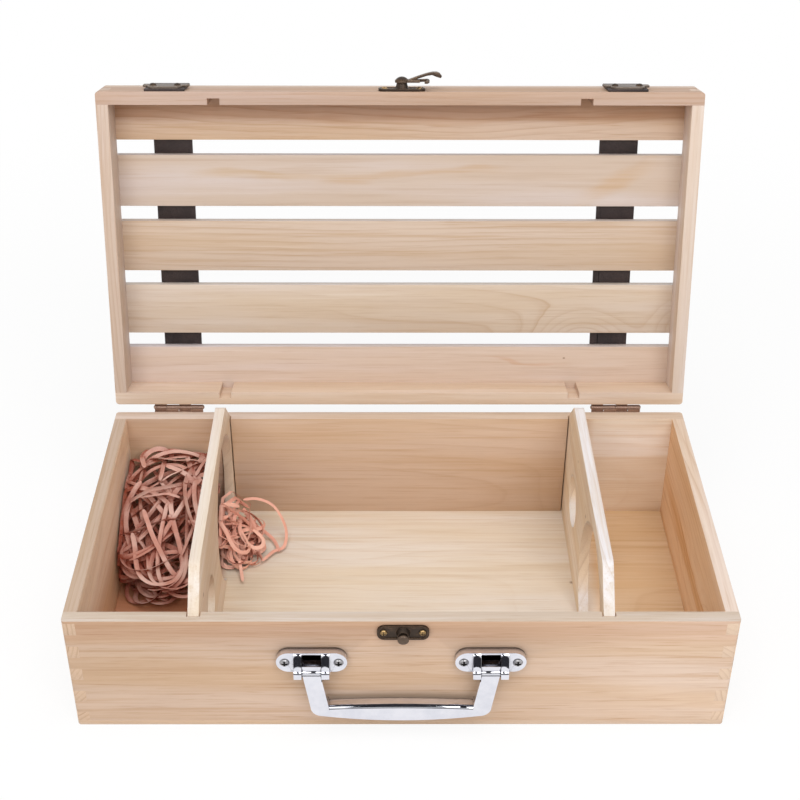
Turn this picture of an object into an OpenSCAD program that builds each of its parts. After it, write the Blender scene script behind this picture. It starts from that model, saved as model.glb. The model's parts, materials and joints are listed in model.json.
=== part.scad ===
// Wooden wine box for two bottles laid head to tail: a finger-jointed pine case, a slatted lid on
// two hinges, two grooved-in dividers with bottle holes, a swinging hook latch and a bail handle.
// Drawn with the lid open on its hinge stop, the handle hanging and the hook turned aside.
// Origin: middle of the case's underside. X to the right seen from the front, Y to the back, Z up.

/* [Case] */
// Outside width of the box
box_w = 350; // [325:1:400]
// Outside depth of the box, front to back
box_d = 190; // [188:1:230]
// Height of the case, base sheet included
case_h = 75; // [72:1:95]
// Thickness of the plywood base sheet
base_t = 3; // [2:0.5:6]
// Thickness of the front and back boards
long_wall_t = 7.5; // [7:0.5:10]
// Thickness of the left and right boards
side_wall_t = 7; // [5:0.5:10]
// Radius of the box's upright corners
corner_r = 2; // [2:0.5:6]
// Height of one finger of the corner joints
finger_w = 8; // [6:0.5:12]
// Height of the part finger that the saw cut left above the case's top finger
finger_top = 1.5; // [0.5:0.5:5]

/* [Lid] */
// Height of the lid's frame, from its rim to the underside of the slats
lid_rail_h = 20.8; // [20:0.1:30]
// Thickness of the slats
slat_t = 6; // [4:0.5:9]
// Width of one slat
slat_w = 30.8; // [24:0.2:34]
// Gap between the closed lid's rim and the case's rim
rim_gap = 0.2; // [0.1:0.1:0.5]
// How far the lid opens before its hinges stop it, in degrees
lid_open = 104.5; // [95:0.5:110]

/* [Dividers] */
// Clear width of the compartment at each end of the box
end_bay_w = 57.7; // [50:0.1:70]
// Thickness of a divider
divider_t = 5.8; // [4:0.2:7]
// Slack between a divider and each side of its groove
groove_slack = 0.7; // [0.2:0.1:0.9]
// Depth of the grooves in the front and back boards
groove_depth = 3.7; // [2.5:0.1:4.5]
// Gap between a divider's end and the bottom of its groove
groove_gap = 0.2; // [0.1:0.1:0.5]
// Gap between a divider's top edge and the closed lid's slats
divider_gap = 1; // [0.5:0.1:8]
// How far the slope at a divider's top corners runs inwards
slope_w = 19.5; // [14:0.5:30]
// Radius where the slope meets the divider's top edge
slope_r = 8; // [3:1:12]
// Wood left between a body opening and the divider's end
body_hole_side = 5; // [4:0.5:8]
// Height of a body opening's middle above the case's underside
body_hole_z = 42; // [38:0.5:43]
// Radius of the arched opening for a bottle's body
body_hole_r = 44; // [38:0.5:44]
// Distance of a neck hole's middle from the divider's other end
neck_hole_in = 45; // [40:0.5:48]
// Height of a neck hole's middle above the case's underside
neck_hole_z = 43.5; // [38:0.5:48]
// Radius of the round hole for a bottle's neck
neck_hole_r = 16; // [14:0.5:20]

/* [Hinges] */
// Distance of the left hinge's middle from the box's left side
hinge_left_inset = 38.5; // [30:0.5:60]
// Distance of the right hinge's middle from the box's right side
hinge_right_inset = 41; // [30:0.5:60]
// Width of a hinge
hinge_w = 30; // [24:1:40]
// Height of one hinge leaf, from the pin's axis
leaf_h = 13; // [11:0.5:18]
// Thickness of a hinge leaf
leaf_t = 1; // [0.8:0.1:1.2]
// Radius of the hinge knuckles
knuckle_r = 1.5; // [1.3:0.1:2]
// Distance of the pin's axis behind the box's back
pin_back = 2.5; // [2.3:0.1:3.5]
// Height of the pin's axis above the case's rim
pin_rise = 2; // [0.2:0.1:2.2]
// Radius of the hinge pins
hinge_pin_r = 0.8; // [0.6:0.05:0.9]

/* [Latch] */
// Place of the latch, to the right of the box's middle
latch_x = 0.9; // [-20:0.1:20]
// Width of the two latch plates
plate_w = 27; // [24:0.2:32]
// Height of the two latch plates
plate_h = 9.2; // [8:0.2:10]
// Thickness of the two latch plates
plate_t = 1.6; // [1:0.1:2]
// Depth of the stud below the case's rim
catch_drop = 6.8; // [6:0.1:9]
// Height of the hook's pivot above the lid's rim
latch_rise = 5.4; // [5.2:0.1:7]
// Radius of the stud's neck
stud_neck_r = 1.6; // [1.2:0.1:1.8]
// Radius of the stud's head
stud_head_r = 2.95; // [2.6:0.05:3.2]
// Thickness of the hook
hook_t = 1.4; // [1:0.1:1.8]
// Reach of the hook's thumb tab from its pivot
hook_l = 23.2; // [20:0.2:28]

/* [Handle] */
// Distance between the middles of the two brackets
handle_span = 93.4; // [84:0.2:120]
// Height of the brackets' middle above the case's underside
handle_z = 50.4; // [50:0.2:53]
// Width of one bracket
bracket_w = 37.2; // [34:0.2:42]
// Height of one bracket
bracket_h = 13.2; // [12:0.2:15]
// Thickness of a bracket
bracket_t = 4.6; // [4:0.1:4.8]
// Width of the bracket over both ears
saddle_w = 18.7; // [16:0.1:20]
// Width of one ear
ear_w = 4.2; // [3:0.1:4.5]
// Radius of the ears around the pivot
ear_r = 4; // [3.6:0.1:4.2]
// Distance of the handle's pivot from the front board
pivot_off = 6.2; // [6:0.1:7]
// Distance of the handle's pivot below the brackets' middle
pivot_drop = 5.4; // [5:0.1:5.8]
// Radius of the handle's pivot pins
handle_pin_r = 1.3; // [1:0.1:1.6]
// Distance from the pivot to the handle's lowest edge
handle_drop = 32.4; // [30:0.2:38]
// Height of the grip in its middle
grip_h = 10.5; // [8:0.1:12]
// Height of the grip where it meets the legs
grip_end_h = 6.2; // [5:0.1:7]
// Width of a leg at the pivot
leg_w = 9.2; // [8:0.1:10]
// Thickness of the legs
leg_t = 3.4; // [2.4:0.1:3.8]
// Thickness of the grip
grip_t = 7.2; // [6.5:0.1:7.6]
// How far each leg leans inwards from the pivot to the grip
leg_lean = 3.9; // [0:0.1:6]

/* [Straps] */
// Distance of the left strap's middle from the box's left side
strap_left_inset = 39.5; // [30:0.5:60]
// Distance of the right strap's middle from the box's right side
strap_right_inset = 44; // [30:0.5:60]
// Width of a strap
strap_w = 23; // [18:0.5:26]
// Thickness of a strap
strap_t = 1.5; // [1:0.1:2]
// Gap between the strap's lower end and the lid's rim
strap_low = 1; // [0.5:0.5:4]
// Distance of the strap's back end from the box's back
strap_back = 5; // [2:0.5:8]
// Width of a strap's end plate
end_w = 26.5; // [24:0.5:30]
// Height of a strap's end plate
end_h = 13; // [11:0.5:15]
// Thickness of a strap's end plate
end_t = 1.2; // [0.8:0.1:1.6]

/* [Screws] */
// Radius of a large screw's head, on the handle
big_head_r = 2.6; // [2.2:0.1:3]
// Radius of a small screw's head, on the hinges and the latch
small_head_r = 2; // [1.7:0.1:2.2]
// Radius of the large screws' shanks
big_shank_r = 1.4; // [1:0.1:1.6]
// Radius of the small screws' and nails' shanks
small_shank_r = 1; // [0.7:0.1:1.2]
// Length of all screws and nails inside the wood
screw_depth = 5; // [4:0.5:6]

/* [Paper shred] */
// Height of the heap of shredded paper above the base sheet
nest_h = 54; // [30:1:58]
// How far the heap reaches from the back board towards the front
nest_reach = 112; // [80:1:125]
// How far the spilled shred reaches into the middle compartment
spill_reach = 36; // [25:1:60]

/* [Hidden] */
// Pieces of the model, one name for each
$fn = 64;

// Clearances: round pins in their bores, pieces that turn face to face, and how far cutters
// run out, in general and above a screw's wood
fit = 0.05;
side_gap = 0.1;
over = 1;
screw_room = 6;
// Space between the soft shred and the wood
soft_gap = 0.4;
SLATS = 5;
KNUCKLES = 4;

// Faces and heights of the case and of the closed lid
half_w = box_w / 2;
half_d = box_d / 2;
bay_y = half_d - long_wall_t;
bay_x = half_w - side_wall_t;
rim_z = case_h + rim_gap;
rail_top = rim_z + lid_rail_h;
lid_top = rail_top + slat_t;
pin_y = half_d + pin_back;
pin_z = case_h + pin_rise;
slat_pitch = (box_d - slat_w) / (SLATS - 1);

// Grooves and dividers
divider_out = bay_x - end_bay_w;
divider_mid = divider_out - divider_t / 2;
groove_w = divider_t + 2 * groove_slack;
divider_end = bay_y + groove_depth - groove_gap;
body_hole_y = divider_end - body_hole_side - body_hole_r;
neck_hole_y = divider_end - neck_hole_in;

// Latch: the layers are measured out from the wood
stud_z = case_h - catch_drop;
pivot_z = rim_z + latch_rise;
latch_reach = catch_drop + rim_gap + latch_rise;
boss_h = 4.4;
hook_off = boss_h + 0.3;
hook_top = hook_off + hook_t;
head_off = hook_top + 0.2;
plate_screw_x = plate_w / 2 - 3.4;
plate_floor = plate_t - 0.5;
rivet_r = 1.5;
rivet_head_r = 3.6;
hub_r = 4;

// Handle
handle_pivot_z = handle_z - pivot_drop;
barrel_r = 2.6;
pocket_floor = 1.2;
pocket_wall = 1.2;
rib_inset = 0.3;
heel_h = pivot_off - pocket_floor - side_gap;
bail_front_off = pivot_off + 3;
bracket_screw_x = 14.1;

// Front view of the bail, measured from its pivots: the grip's sag below and its arch above
leg_out = handle_span / 2 + leg_w / 2;
leg_in = handle_span / 2 - leg_w / 2;
sag_share = 0.75;
grip_sag = (grip_h - grip_end_h) * sag_share;
grip_crown = (grip_h - grip_end_h) * (1 - sag_share);
arch_x = leg_in - leg_lean;
arch_end_y = grip_sag + grip_end_h - handle_drop;
arch_r = (arch_x * arch_x + grip_crown * grip_crown) / (2 * grip_crown);
arch_y = arch_end_y + grip_crown - arch_r;

// Upper part of the grip: its height, its round edges, and how far the lower part stops below
cap_h = 4.2;
cap_front_r = 3;
cap_back_r = 1.5;
cap_lap = 3.2;
grip_half = arch_x + 1.5;

// Places along the box's width
hinge_x = [-half_w + hinge_left_inset, half_w - hinge_right_inset];
strap_x = [-half_w + strap_left_inset, half_w - strap_right_inset];
bracket_x = [-handle_span / 2, handle_span / 2];
hinge_screw_dx = hinge_w / 2 - 5;
hinge_screw_dz = leaf_h - 4;
end_nail_dx = 7;
end_mid = rim_z + strap_low + end_h / 2;
end_out = strap_t + end_t;
back_nail_y = half_d - strap_back - 5;

PINE = [0.86, 0.72, 0.55];
SLAT_PINE = [0.88, 0.74, 0.56];
BRONZE = [0.27, 0.22, 0.16];
CHROME = [0.82, 0.83, 0.85];
LEATHER = [0.2, 0.17, 0.16];
PAPER = [0.8, 0.57, 0.48];

// Rectangle with round corners, centred
module rounded_rect(w, h, r) {
    square([w - 2 * r, h], center = true);
    square([w, h - 2 * r], center = true);
    for (sx = [-1, 1], sy = [-1, 1]) {
        translate([sx * (w / 2 - r), sy * (h / 2 - r)]) circle(r);
    }
}

// Bar with half-round ends, centred
module stadium(w, h) {
    square([w - h, h], center = true);
    for (sx = [-1, 1]) translate([sx * (w - h) / 2, 0]) circle(h / 2);
}

// Prism of the box's outside outline between two heights
module outline(z0, z1) {
    translate([0, 0, z0]) linear_extrude(height = z1 - z0) rounded_rect(box_w, box_d, corner_r);
}

// Box between two corners
module block(a, b) {
    translate(a) cube(b - a);
}

// A flat Y-Z shape drawn out along X from x0
module along_x(x0, len) {
    translate([x0, 0, 0]) rotate([90, 0, 90]) linear_extrude(height = len) children();
}

// Puts children on the front face: X stays, Y becomes up, Z becomes out of the face
module on_front(x, z) {
    translate([x, -half_d, z]) rotate([90, 0, 0]) children();
}

// The same on the back face, with Z out of the back
module on_back(x, z) {
    translate([x, half_d, z]) rotate([90, 0, 180]) children();
}

// Turns the closed lid's pieces back to the open stop
module lid_pose() {
    translate([0, pin_y, pin_z]) rotate([-lid_open, 0, 0]) translate([0, -pin_y, -pin_z]) children();
}

// Blocks that a corner joint takes away from a board, for the boards' own bands of height.
// The bands run the same way through case and lid, as the frame is sawn apart after gluing.
module corner_bands(first) {
    z_ref = case_h - finger_top;
    for (j = [-12:6]) {
        z0 = z_ref + (2 * j + first) * finger_w;
        for (sx = [-1, 1], sy = [-1, 1]) {
            x0 = sx > 0 ? bay_x : -half_w - over;
            y0 = sy > 0 ? bay_y : -half_d - over;
            translate([x0, y0, z0]) cube([side_wall_t + over, long_wall_t + over, finger_w]);
        }
    }
}

// Front board (side = -1) or back board (side = 1) between two heights, with fingers and grooves
module long_board(side, z0, z1) {
    y_in = bay_y + groove_depth;
    difference() {
        intersection() {
            outline(z0, z1);
            translate([0, side * (half_d + bay_y) / 2, (z0 + z1) / 2])
                cube([box_w + over, long_wall_t, z1 - z0 + over], center = true);
        }
        corner_bands(-1);
        for (sx = [-1, 1]) {
            translate([sx * divider_mid, side * (bay_y + y_in - over) / 2, (z0 + z1) / 2])
                cube([groove_w, groove_depth + over, z1 - z0 + 2 * over], center = true);
        }
    }
}

// Left board (side = -1) or right board (side = 1) between two heights
module side_board(side, z0, z1) {
    difference() {
        intersection() {
            outline(z0, z1);
            translate([side * (half_w + bay_x) / 2, 0, (z0 + z1) / 2])
                cube([side_wall_t, box_d + over, z1 - z0 + over], center = true);
        }
        corner_bands(0);
    }
}

// Hole for a screw or nail, down into the wood and up through what it holds
module pilot(r) {
    translate([0, 0, -screw_depth]) cylinder(h = screw_depth + screw_room, r = r + fit);
}

// Hole for a nail right through a strap and its end plate
module nail_hole() {
    translate([0, 0, -over]) cylinder(h = end_out + 2 * over, r = small_shank_r + fit);
}

// Low dome of a given radius and height, standing on z = 0
module dome(r, h) {
    ball_r = (r * r + h * h) / (2 * h);
    intersection() {
        translate([0, 0, h - ball_r]) sphere(ball_r);
        cylinder(h = h + over, r = r);
    }
}

// Screw with a domed head and a cross recess; z = 0 is the wood, seat is the head's underside
module wood_screw(head_r, shank_r, seat) {
    head_h = head_r * 0.6;
    recess_l = head_r * 1.2;
    recess_w = head_r * 0.22;
    difference() {
        union() {
            translate([0, 0, fit - screw_depth]) cylinder(h = screw_depth + seat, r = shank_r);
            translate([0, 0, seat]) dome(head_r, head_h);
        }
        for (a = [0, 90]) {
            rotate([0, 0, a]) translate([0, 0, seat + head_h])
                cube([recess_l, recess_w, head_h], center = true);
        }
    }
}

// Domed nail; z = 0 is the wood, seat is the head's underside
module dome_nail(seat) {
    translate([0, 0, -screw_depth + fit]) cylinder(h = screw_depth + seat, r = small_shank_r);
    translate([0, 0, seat]) dome(2.2, 1.3);
}

// Places of the screws, each drawn at its own spot
module at_catch_screws() {
    for (dx = [-plate_screw_x, plate_screw_x]) on_front(latch_x + dx, stud_z) children();
}

module at_latch_screws() {
    for (dx = [-plate_screw_x, plate_screw_x]) on_front(latch_x + dx, pivot_z) children();
}

module at_handle_screws() {
    for (x = bracket_x, dx = [-bracket_screw_x, bracket_screw_x]) on_front(x + dx, handle_z) children();
}

module at_hinge_screws(x, side) {
    for (dx = [-hinge_screw_dx, hinge_screw_dx]) on_back(x + dx, pin_z + side * hinge_screw_dz) children();
}

module at_end_nails(x) {
    for (dx = [-end_nail_dx, end_nail_dx]) on_front(x + dx, end_mid) children();
}

module at_back_nails(x) {
    for (dx = [-strap_w / 4, strap_w / 4]) translate([x + dx, back_nail_y, lid_top]) children();
}

// The case

module base_panel() {
    color(PINE) outline(0, base_t);
}

module front_wall() {
    color(PINE) difference() {
        long_board(-1, base_t, case_h);
        at_catch_screws() pilot(small_shank_r);
        on_front(latch_x, stud_z) pilot(stud_neck_r);
        at_handle_screws() pilot(big_shank_r);
    }
}

module back_wall() {
    color(PINE) difference() {
        long_board(1, base_t, case_h);
        for (x = hinge_x) at_hinge_screws(x, -1) pilot(small_shank_r);
    }
}

module side_wall(side) {
    color(PINE) side_board(side, base_t, case_h);
}

// Divider on one side (-1 left, 1 right); the bottles lie head to tail, so the two are alike
// turned half a turn. The arch is open at the bottom, where a bottle rests on the base sheet.
module divider(side) {
    top_z = rail_top - divider_gap;
    slope_a = atan2(top_z - case_h, slope_w);
    trim = slope_r * tan(slope_a / 2);
    top_y = divider_end - slope_w;
    x0 = side > 0 ? divider_out - divider_t : -divider_out;
    color(PINE) along_x(x0, divider_t) difference() {
        union() {
            for (m = [0, 1]) mirror([m, 0]) {
                polygon([
                    [0, base_t],
                    [divider_end, base_t],
                    [divider_end, case_h],
                    [top_y + trim * cos(slope_a), top_z - trim * sin(slope_a)],
                    [top_y - trim, top_z],
                    [0, top_z]
                ]);
                translate([top_y - trim, top_z - slope_r]) circle(slope_r);
            }
        }
        translate([-side * body_hole_y, body_hole_z]) circle(body_hole_r, $fn = 96);
        translate([side * neck_hole_y, neck_hole_z]) circle(neck_hole_r);
    }
}

// Latch hardware

// Bronze plate with a raised border and a boss in the middle; screws at both ends
module bronze_plate() {
    border = 1.1;
    color(BRONZE) difference() {
        union() {
            difference() {
                linear_extrude(height = plate_t) rounded_rect(plate_w, plate_h, plate_h * 0.42);
                translate([0, 0, plate_floor]) linear_extrude(height = over)
                    rounded_rect(plate_w - 2 * border, plate_h - 2 * border, plate_h * 0.42 - border);
            }
            cylinder(h = boss_h, r1 = plate_h / 2 - border / 2, r2 = hub_r - 1);
        }
        for (sx = [-1, 1]) translate([sx * plate_screw_x, 0, 0]) pilot(small_shank_r);
        translate([0, 0, -over]) cylinder(h = boss_h + 2 * over, r = stud_neck_r + fit);
    }
}

module catch_plate() {
    on_front(latch_x, stud_z) bronze_plate();
}

module catch_stud() {
    rim_h = 0.6;
    color(BRONZE) on_front(latch_x, stud_z) {
        translate([0, 0, -screw_depth + fit]) cylinder(h = screw_depth + head_off, r = stud_neck_r);
        translate([0, 0, head_off]) cylinder(h = rim_h, r = stud_head_r);
        translate([0, 0, head_off + rim_h]) dome(stud_head_r, 1.2);
    }
}

module catch_screws() {
    color(BRONZE) at_catch_screws() wood_screw(small_head_r, small_shank_r, plate_floor);
}

module latch_plate() {
    lid_pose() on_front(latch_x, pivot_z) bronze_plate();
}

module latch_screws() {
    color(BRONZE) lid_pose() at_latch_screws() wood_screw(small_head_r, small_shank_r, plate_floor);
}

// Rivet that the hook turns on
module latch_pivot() {
    color(BRONZE) lid_pose() on_front(latch_x, pivot_z) {
        translate([0, 0, -screw_depth + fit]) cylinder(h = screw_depth + boss_h, r = stud_neck_r);
        translate([0, 0, boss_h - over]) cylinder(h = head_off - boss_h + over, r = rivet_r);
        translate([0, 0, head_off]) dome(rivet_head_r, 1.7);
    }
}

// Wedge from angle a0 to a1 (under 90 degrees wide), out to radius r
module wedge(a0, a1, r) {
    far = r * 1.5;
    polygon([[0, 0], far * [cos(a0), sin(a0)], far * [cos(a1), sin(a1)]]);
}

// Ring between two radii and two angles
module ring_part(r0, r1, a0, a1) {
    intersection() {
        difference() {
            circle(r1);
            circle(r0);
        }
        wedge(a0, a1, r1);
    }
}

// Flat part of the hook: hub, arm, and a mouth that closes round the stud's neck.
// The mouth opens downwards at rest, the way the hook swings.
module hook_flat() {
    channel = stud_neck_r + 0.35;
    seat_r = channel + 0.15;
    jaw_w = 1.6;
    jaw_in = latch_reach + channel;
    difference() {
        union() {
            circle(hub_r);
            translate([0, -2.4]) square([latch_reach - channel, 5]);
            ring_part(jaw_in, jaw_in + jaw_w, -26, 2);
            ring_part(latch_reach - channel - 2.5, jaw_in + jaw_w, 0, 22);
        }
        translate([latch_reach, 0]) circle(seat_r);
        ring_part(latch_reach - channel, jaw_in, -30, 0);
    }
}

// Outline of the thumb lever seen from the front; it keeps above the stud's head
module lever_plan() {
    crown = [15, 6.2];
    hull() {
        translate([2.6, 2]) circle(1.8, $fn = 32);
        translate(crown) circle(1.7, $fn = 32);
    }
    hull() {
        translate(crown) circle(1.7, $fn = 32);
        translate([hook_l - 2.9, 4.8]) circle(2.9, $fn = 32);
    }
}

// Side of the thumb lever: it rises off the hub and curls down at the tip
module lever_side() {
    rise = 3.9;
    polygon([
        [0, hook_off],
        [4, hook_off],
        [9, hook_off + 1.6],
        [14, hook_off + 3],
        [17.5, hook_top + rise - 1.6],
        [20, hook_top + 1.4],
        [hook_l - 0.6, hook_top + 0.6],
        [hook_l, hook_top + 1.6],
        [hook_l - 1.4, hook_top + rise - 0.6],
        [20, hook_top + rise],
        [17.5, hook_top + rise - 0.1],
        [14, hook_top + 3],
        [9, hook_top + 1.6],
        [4, hook_top],
        [0, hook_top]
    ]);
}

module latch_hook() {
    color(BRONZE) lid_pose() on_front(latch_x, pivot_z) difference() {
        union() {
            translate([0, 0, hook_off]) linear_extrude(height = hook_t) hook_flat();
            intersection() {
                linear_extrude(height = hook_off + 10) lever_plan();
                translate([0, hub_r * 4, 0]) rotate([90, 0, 0]) linear_extrude(height = hub_r * 5)
                    lever_side();
            }
        }
        translate([0, 0, hook_off - over]) cylinder(h = hook_t + 2 * over, r = rivet_r + fit);
        translate([0, 0, hook_top]) cylinder(h = over, r = rivet_head_r + 0.2);
    }
}

// Handle

// Side view of a rib and its ear, drawn with Y out of the wall as -half_d - distance
module ear_side() {
    y0 = -half_d;
    rib_top = handle_z + bracket_h / 2 - rib_inset;
    brow = 0.8;
    brow_fall = 0.5;
    chin = 0.1;
    translate([y0 - pivot_off, handle_pivot_z]) circle(ear_r);
    polygon([
        [y0 - bracket_t + fit, rib_top],
        [y0 - bracket_t - brow, rib_top - brow_fall],
        [y0 - pivot_off - ear_r + chin, handle_pivot_z],
        [y0 - bracket_t + fit, handle_pivot_z]
    ]);
}

// Bracket with a pocket between its ribs, open below, for the bail's barrel and heel
module handle_bracket(x) {
    pocket_w = saddle_w - 2 * ear_w;
    pocket_h = bracket_h - pocket_wall;
    color(CHROME) difference() {
        union() {
            on_front(x, handle_z) linear_extrude(height = bracket_t) stadium(bracket_w, bracket_h);
            for (x0 = [x - saddle_w / 2, x + saddle_w / 2 - ear_w]) along_x(x0, ear_w) ear_side();
        }
        on_front(x, handle_z) translate([-pocket_w / 2, -bracket_h / 2 - over, pocket_floor])
            cube([pocket_w, pocket_h + over, bracket_t]);
        translate([x - saddle_w / 2 - over, -half_d - pivot_off, handle_pivot_z]) rotate([0, 90, 0])
            cylinder(h = saddle_w + 2 * over, r = handle_pin_r + fit);
        for (dx = [-bracket_screw_x, bracket_screw_x]) on_front(x + dx, handle_z) pilot(big_shank_r);
    }
}

module handle_pin(x) {
    cap_h = 0.6;
    len = saddle_w + 2 * fit;
    color(CHROME) translate([x - len / 2, -half_d - pivot_off, handle_pivot_z]) rotate([0, 90, 0]) {
        cylinder(h = len, r = handle_pin_r);
        translate([0, 0, len]) dome(handle_pin_r + 0.6, cap_h);
        mirror([0, 0, 1]) dome(handle_pin_r + 0.6, cap_h);
    }
}

module handle_screws() {
    color(CHROME) at_handle_screws() wood_screw(big_head_r, big_shank_r, bracket_t);
}

// Front view of the bail below its pivots: legs that lean inwards and an arched grip, whose
// arch can stop lower by a given amount
module bail_front(lower) {
    corner = 6.1;
    corner_out = 0.4;
    low = -handle_drop;
    corner_x = leg_out - leg_lean + corner_out - corner;
    corner_y = low + grip_sag + corner;
    low_r = (corner_x * corner_x + grip_sag * grip_sag) / (2 * grip_sag);
    in_y = arch_end_y - lower;
    difference() {
        union() {
            polygon([
                [-leg_out, 0],
                [leg_out, 0],
                [leg_out - leg_lean + corner_out, corner_y],
                [-leg_out + leg_lean - corner_out, corner_y]
            ]);
            for (sx = [-1, 1]) translate([sx * corner_x, corner_y]) circle(corner);
            intersection() {
                translate([0, low + low_r]) circle(low_r, $fn = 720);
                translate([-corner_x - over, low]) square([2 * (corner_x + over), corner + grip_sag]);
            }
        }
        difference() {
            polygon([
                [-leg_in, over],
                [leg_in, over],
                [arch_x, arch_end_y],
                [arch_x, in_y],
                [-arch_x, in_y],
                [-arch_x, arch_end_y]
            ]);
            intersection() {
                translate([0, arch_y - lower]) circle(arch_r, $fn = 720);
                translate([-arch_x, in_y - over]) square([2 * arch_x, grip_crown + over]);
            }
        }
    }
}

// Section of the grip's upper part: X runs up from its foot, Y out from its back
module cap_section() {
    square([cap_h - cap_front_r, grip_t]);
    square([cap_h - cap_back_r, grip_t - cap_front_r]);
    translate([0, cap_back_r]) square([cap_h, grip_t - cap_front_r - cap_back_r]);
    translate([cap_h - cap_front_r, grip_t - cap_front_r]) circle(cap_front_r);
    translate([cap_h - cap_back_r, cap_back_r]) circle(cap_back_r);
}

// The grip: its section turned about the arch's middle, over a straight lower part
module grip() {
    back = bail_front_off - grip_t;
    intersection() {
        translate([0, arch_y, back]) rotate_extrude($fn = 720) translate([arch_r - cap_h, 0])
            cap_section();
        translate([-grip_half, -handle_drop, back - over])
            cube([2 * grip_half, grip_h + over, grip_t + 2 * over]);
    }
    translate([0, 0, back]) linear_extrude(height = grip_t) intersection() {
        bail_front(cap_lap);
        translate([-grip_half, -handle_drop - over]) square([2 * grip_half, grip_h + over]);
    }
}

module handle_bail() {
    barrel_w = saddle_w - 2 * ear_w - 2 * side_gap;
    ear_room_w = 2 * ear_w + 2 * side_gap;
    ear_room_h = 2 * ear_r + 2;
    color(CHROME) difference() {
        union() {
            on_front(0, handle_pivot_z) {
                translate([0, 0, bail_front_off - leg_t]) linear_extrude(height = leg_t)
                    bail_front(cap_lap);
                grip();
            }
            for (x = bracket_x) along_x(x - barrel_w / 2, barrel_w) barrel_side();
        }
        for (x = bracket_x) translate([x - saddle_w, -half_d - pivot_off, handle_pivot_z])
            rotate([0, 90, 0]) cylinder(h = 2 * saddle_w, r = handle_pin_r + fit);
        for (x = bracket_x, sx = [-1, 1]) on_front(x + sx * saddle_w / 2, handle_pivot_z)
            translate([-ear_room_w / 2, -ear_r - side_gap, -over])
                cube([ear_room_w, ear_room_h, 2 * bail_front_off]);
    }
}

// Side view of the bail's barrel, with the heel that meets the pocket's floor when the bail stands out
module barrel_side() {
    heel_t = 2.6;
    translate([-half_d - pivot_off, handle_pivot_z]) {
        circle(barrel_r);
        intersection() {
            translate([-heel_t / 2, 0]) square([heel_t, heel_h]);
            union() {
                circle(heel_h);
                translate([-heel_t / 2, 0]) square([heel_t / 2, heel_h]);
            }
        }
    }
}

// Hinges

// One leaf with its knuckles, drawn for the case (side = -1, knuckles 2 and 4) or the closed lid
// (side = 1, knuckles 1 and 3), counted from the left
module hinge_leaf(x, side) {
    step = hinge_w / KNUCKLES;
    first = side > 0 ? 0 : 1;
    x0 = x - hinge_w / 2;
    z_leaf = side > 0 ? pin_z : pin_z - leaf_h;
    free_r = knuckle_r + 0.3;
    color(BRONZE) difference() {
        union() {
            translate([x0, half_d, z_leaf]) cube([hinge_w, leaf_t, leaf_h]);
            for (k = [first : 2 : KNUCKLES - 1]) {
                translate([x0 + k * step + side_gap, pin_y, pin_z]) {
                    rotate([0, 90, 0]) cylinder(h = step - 2 * side_gap, r = knuckle_r);
                    translate([0, -pin_back, side > 0 ? 0 : -knuckle_r])
                        cube([step - 2 * side_gap, pin_back, knuckle_r]);
                }
            }
        }
        for (k = [1 - first : 2 : KNUCKLES - 1]) {
            translate([x0 + k * step - side_gap, half_d - over, pin_z - free_r])
                cube([step + 2 * side_gap, pin_back + leaf_t + over, 2 * free_r]);
        }
        translate([x0 - over, pin_y, pin_z]) rotate([0, 90, 0])
            cylinder(h = hinge_w + 2 * over, r = hinge_pin_r + fit);
        at_hinge_screws(x, side) pilot(small_shank_r);
    }
}

module hinge_case_leaf(x) {
    hinge_leaf(x, -1);
}

// The lid's leaf, with the lugs that meet the case's leaf and stop the lid at its open angle
module hinge_lid_leaf(x) {
    step = hinge_w / KNUCKLES;
    lug_y = half_d + leaf_t + side_gap;
    lug_t = pin_y - lug_y;
    lug_l = knuckle_r + 3;
    difference() {
        union() {
            lid_pose() hinge_leaf(x, 1);
            color(BRONZE) for (k = [0, 2]) {
                translate([x - hinge_w / 2 + k * step + side_gap, lug_y, pin_z - lug_l])
                    cube([step - 2 * side_gap, lug_t, lug_l - hinge_pin_r]);
            }
        }
        translate([x - hinge_w / 2 - over, pin_y, pin_z]) rotate([0, 90, 0])
            cylinder(h = hinge_w + 2 * over, r = hinge_pin_r + fit);
    }
}

module hinge_pin(x) {
    cap_h = 0.7;
    color(BRONZE) translate([x - hinge_w / 2, pin_y, pin_z]) rotate([0, 90, 0]) {
        cylinder(h = hinge_w, r = hinge_pin_r);
        translate([0, 0, hinge_w]) dome(hinge_pin_r + 0.5, cap_h);
        mirror([0, 0, 1]) dome(hinge_pin_r + 0.5, cap_h);
    }
}

module hinge_case_screws() {
    color(BRONZE) for (x = hinge_x) at_hinge_screws(x, -1) wood_screw(small_head_r, small_shank_r, leaf_t);
}

module hinge_lid_screws() {
    color(BRONZE) lid_pose() for (x = hinge_x) at_hinge_screws(x, 1)
        wood_screw(small_head_r, small_shank_r, leaf_t);
}

// The lid

module lid_front_rail() {
    color(PINE) lid_pose() difference() {
        long_board(-1, rim_z, rail_top);
        at_latch_screws() pilot(small_shank_r);
        on_front(latch_x, pivot_z) pilot(stud_neck_r);
        for (x = strap_x) at_end_nails(x) pilot(small_shank_r);
    }
}

module lid_back_rail() {
    color(PINE) lid_pose() difference() {
        long_board(1, rim_z, rail_top);
        for (x = hinge_x) at_hinge_screws(x, 1) pilot(small_shank_r);
    }
}

module lid_side_rail(side) {
    color(PINE) lid_pose() side_board(side, rim_z, rail_top);
}

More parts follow.
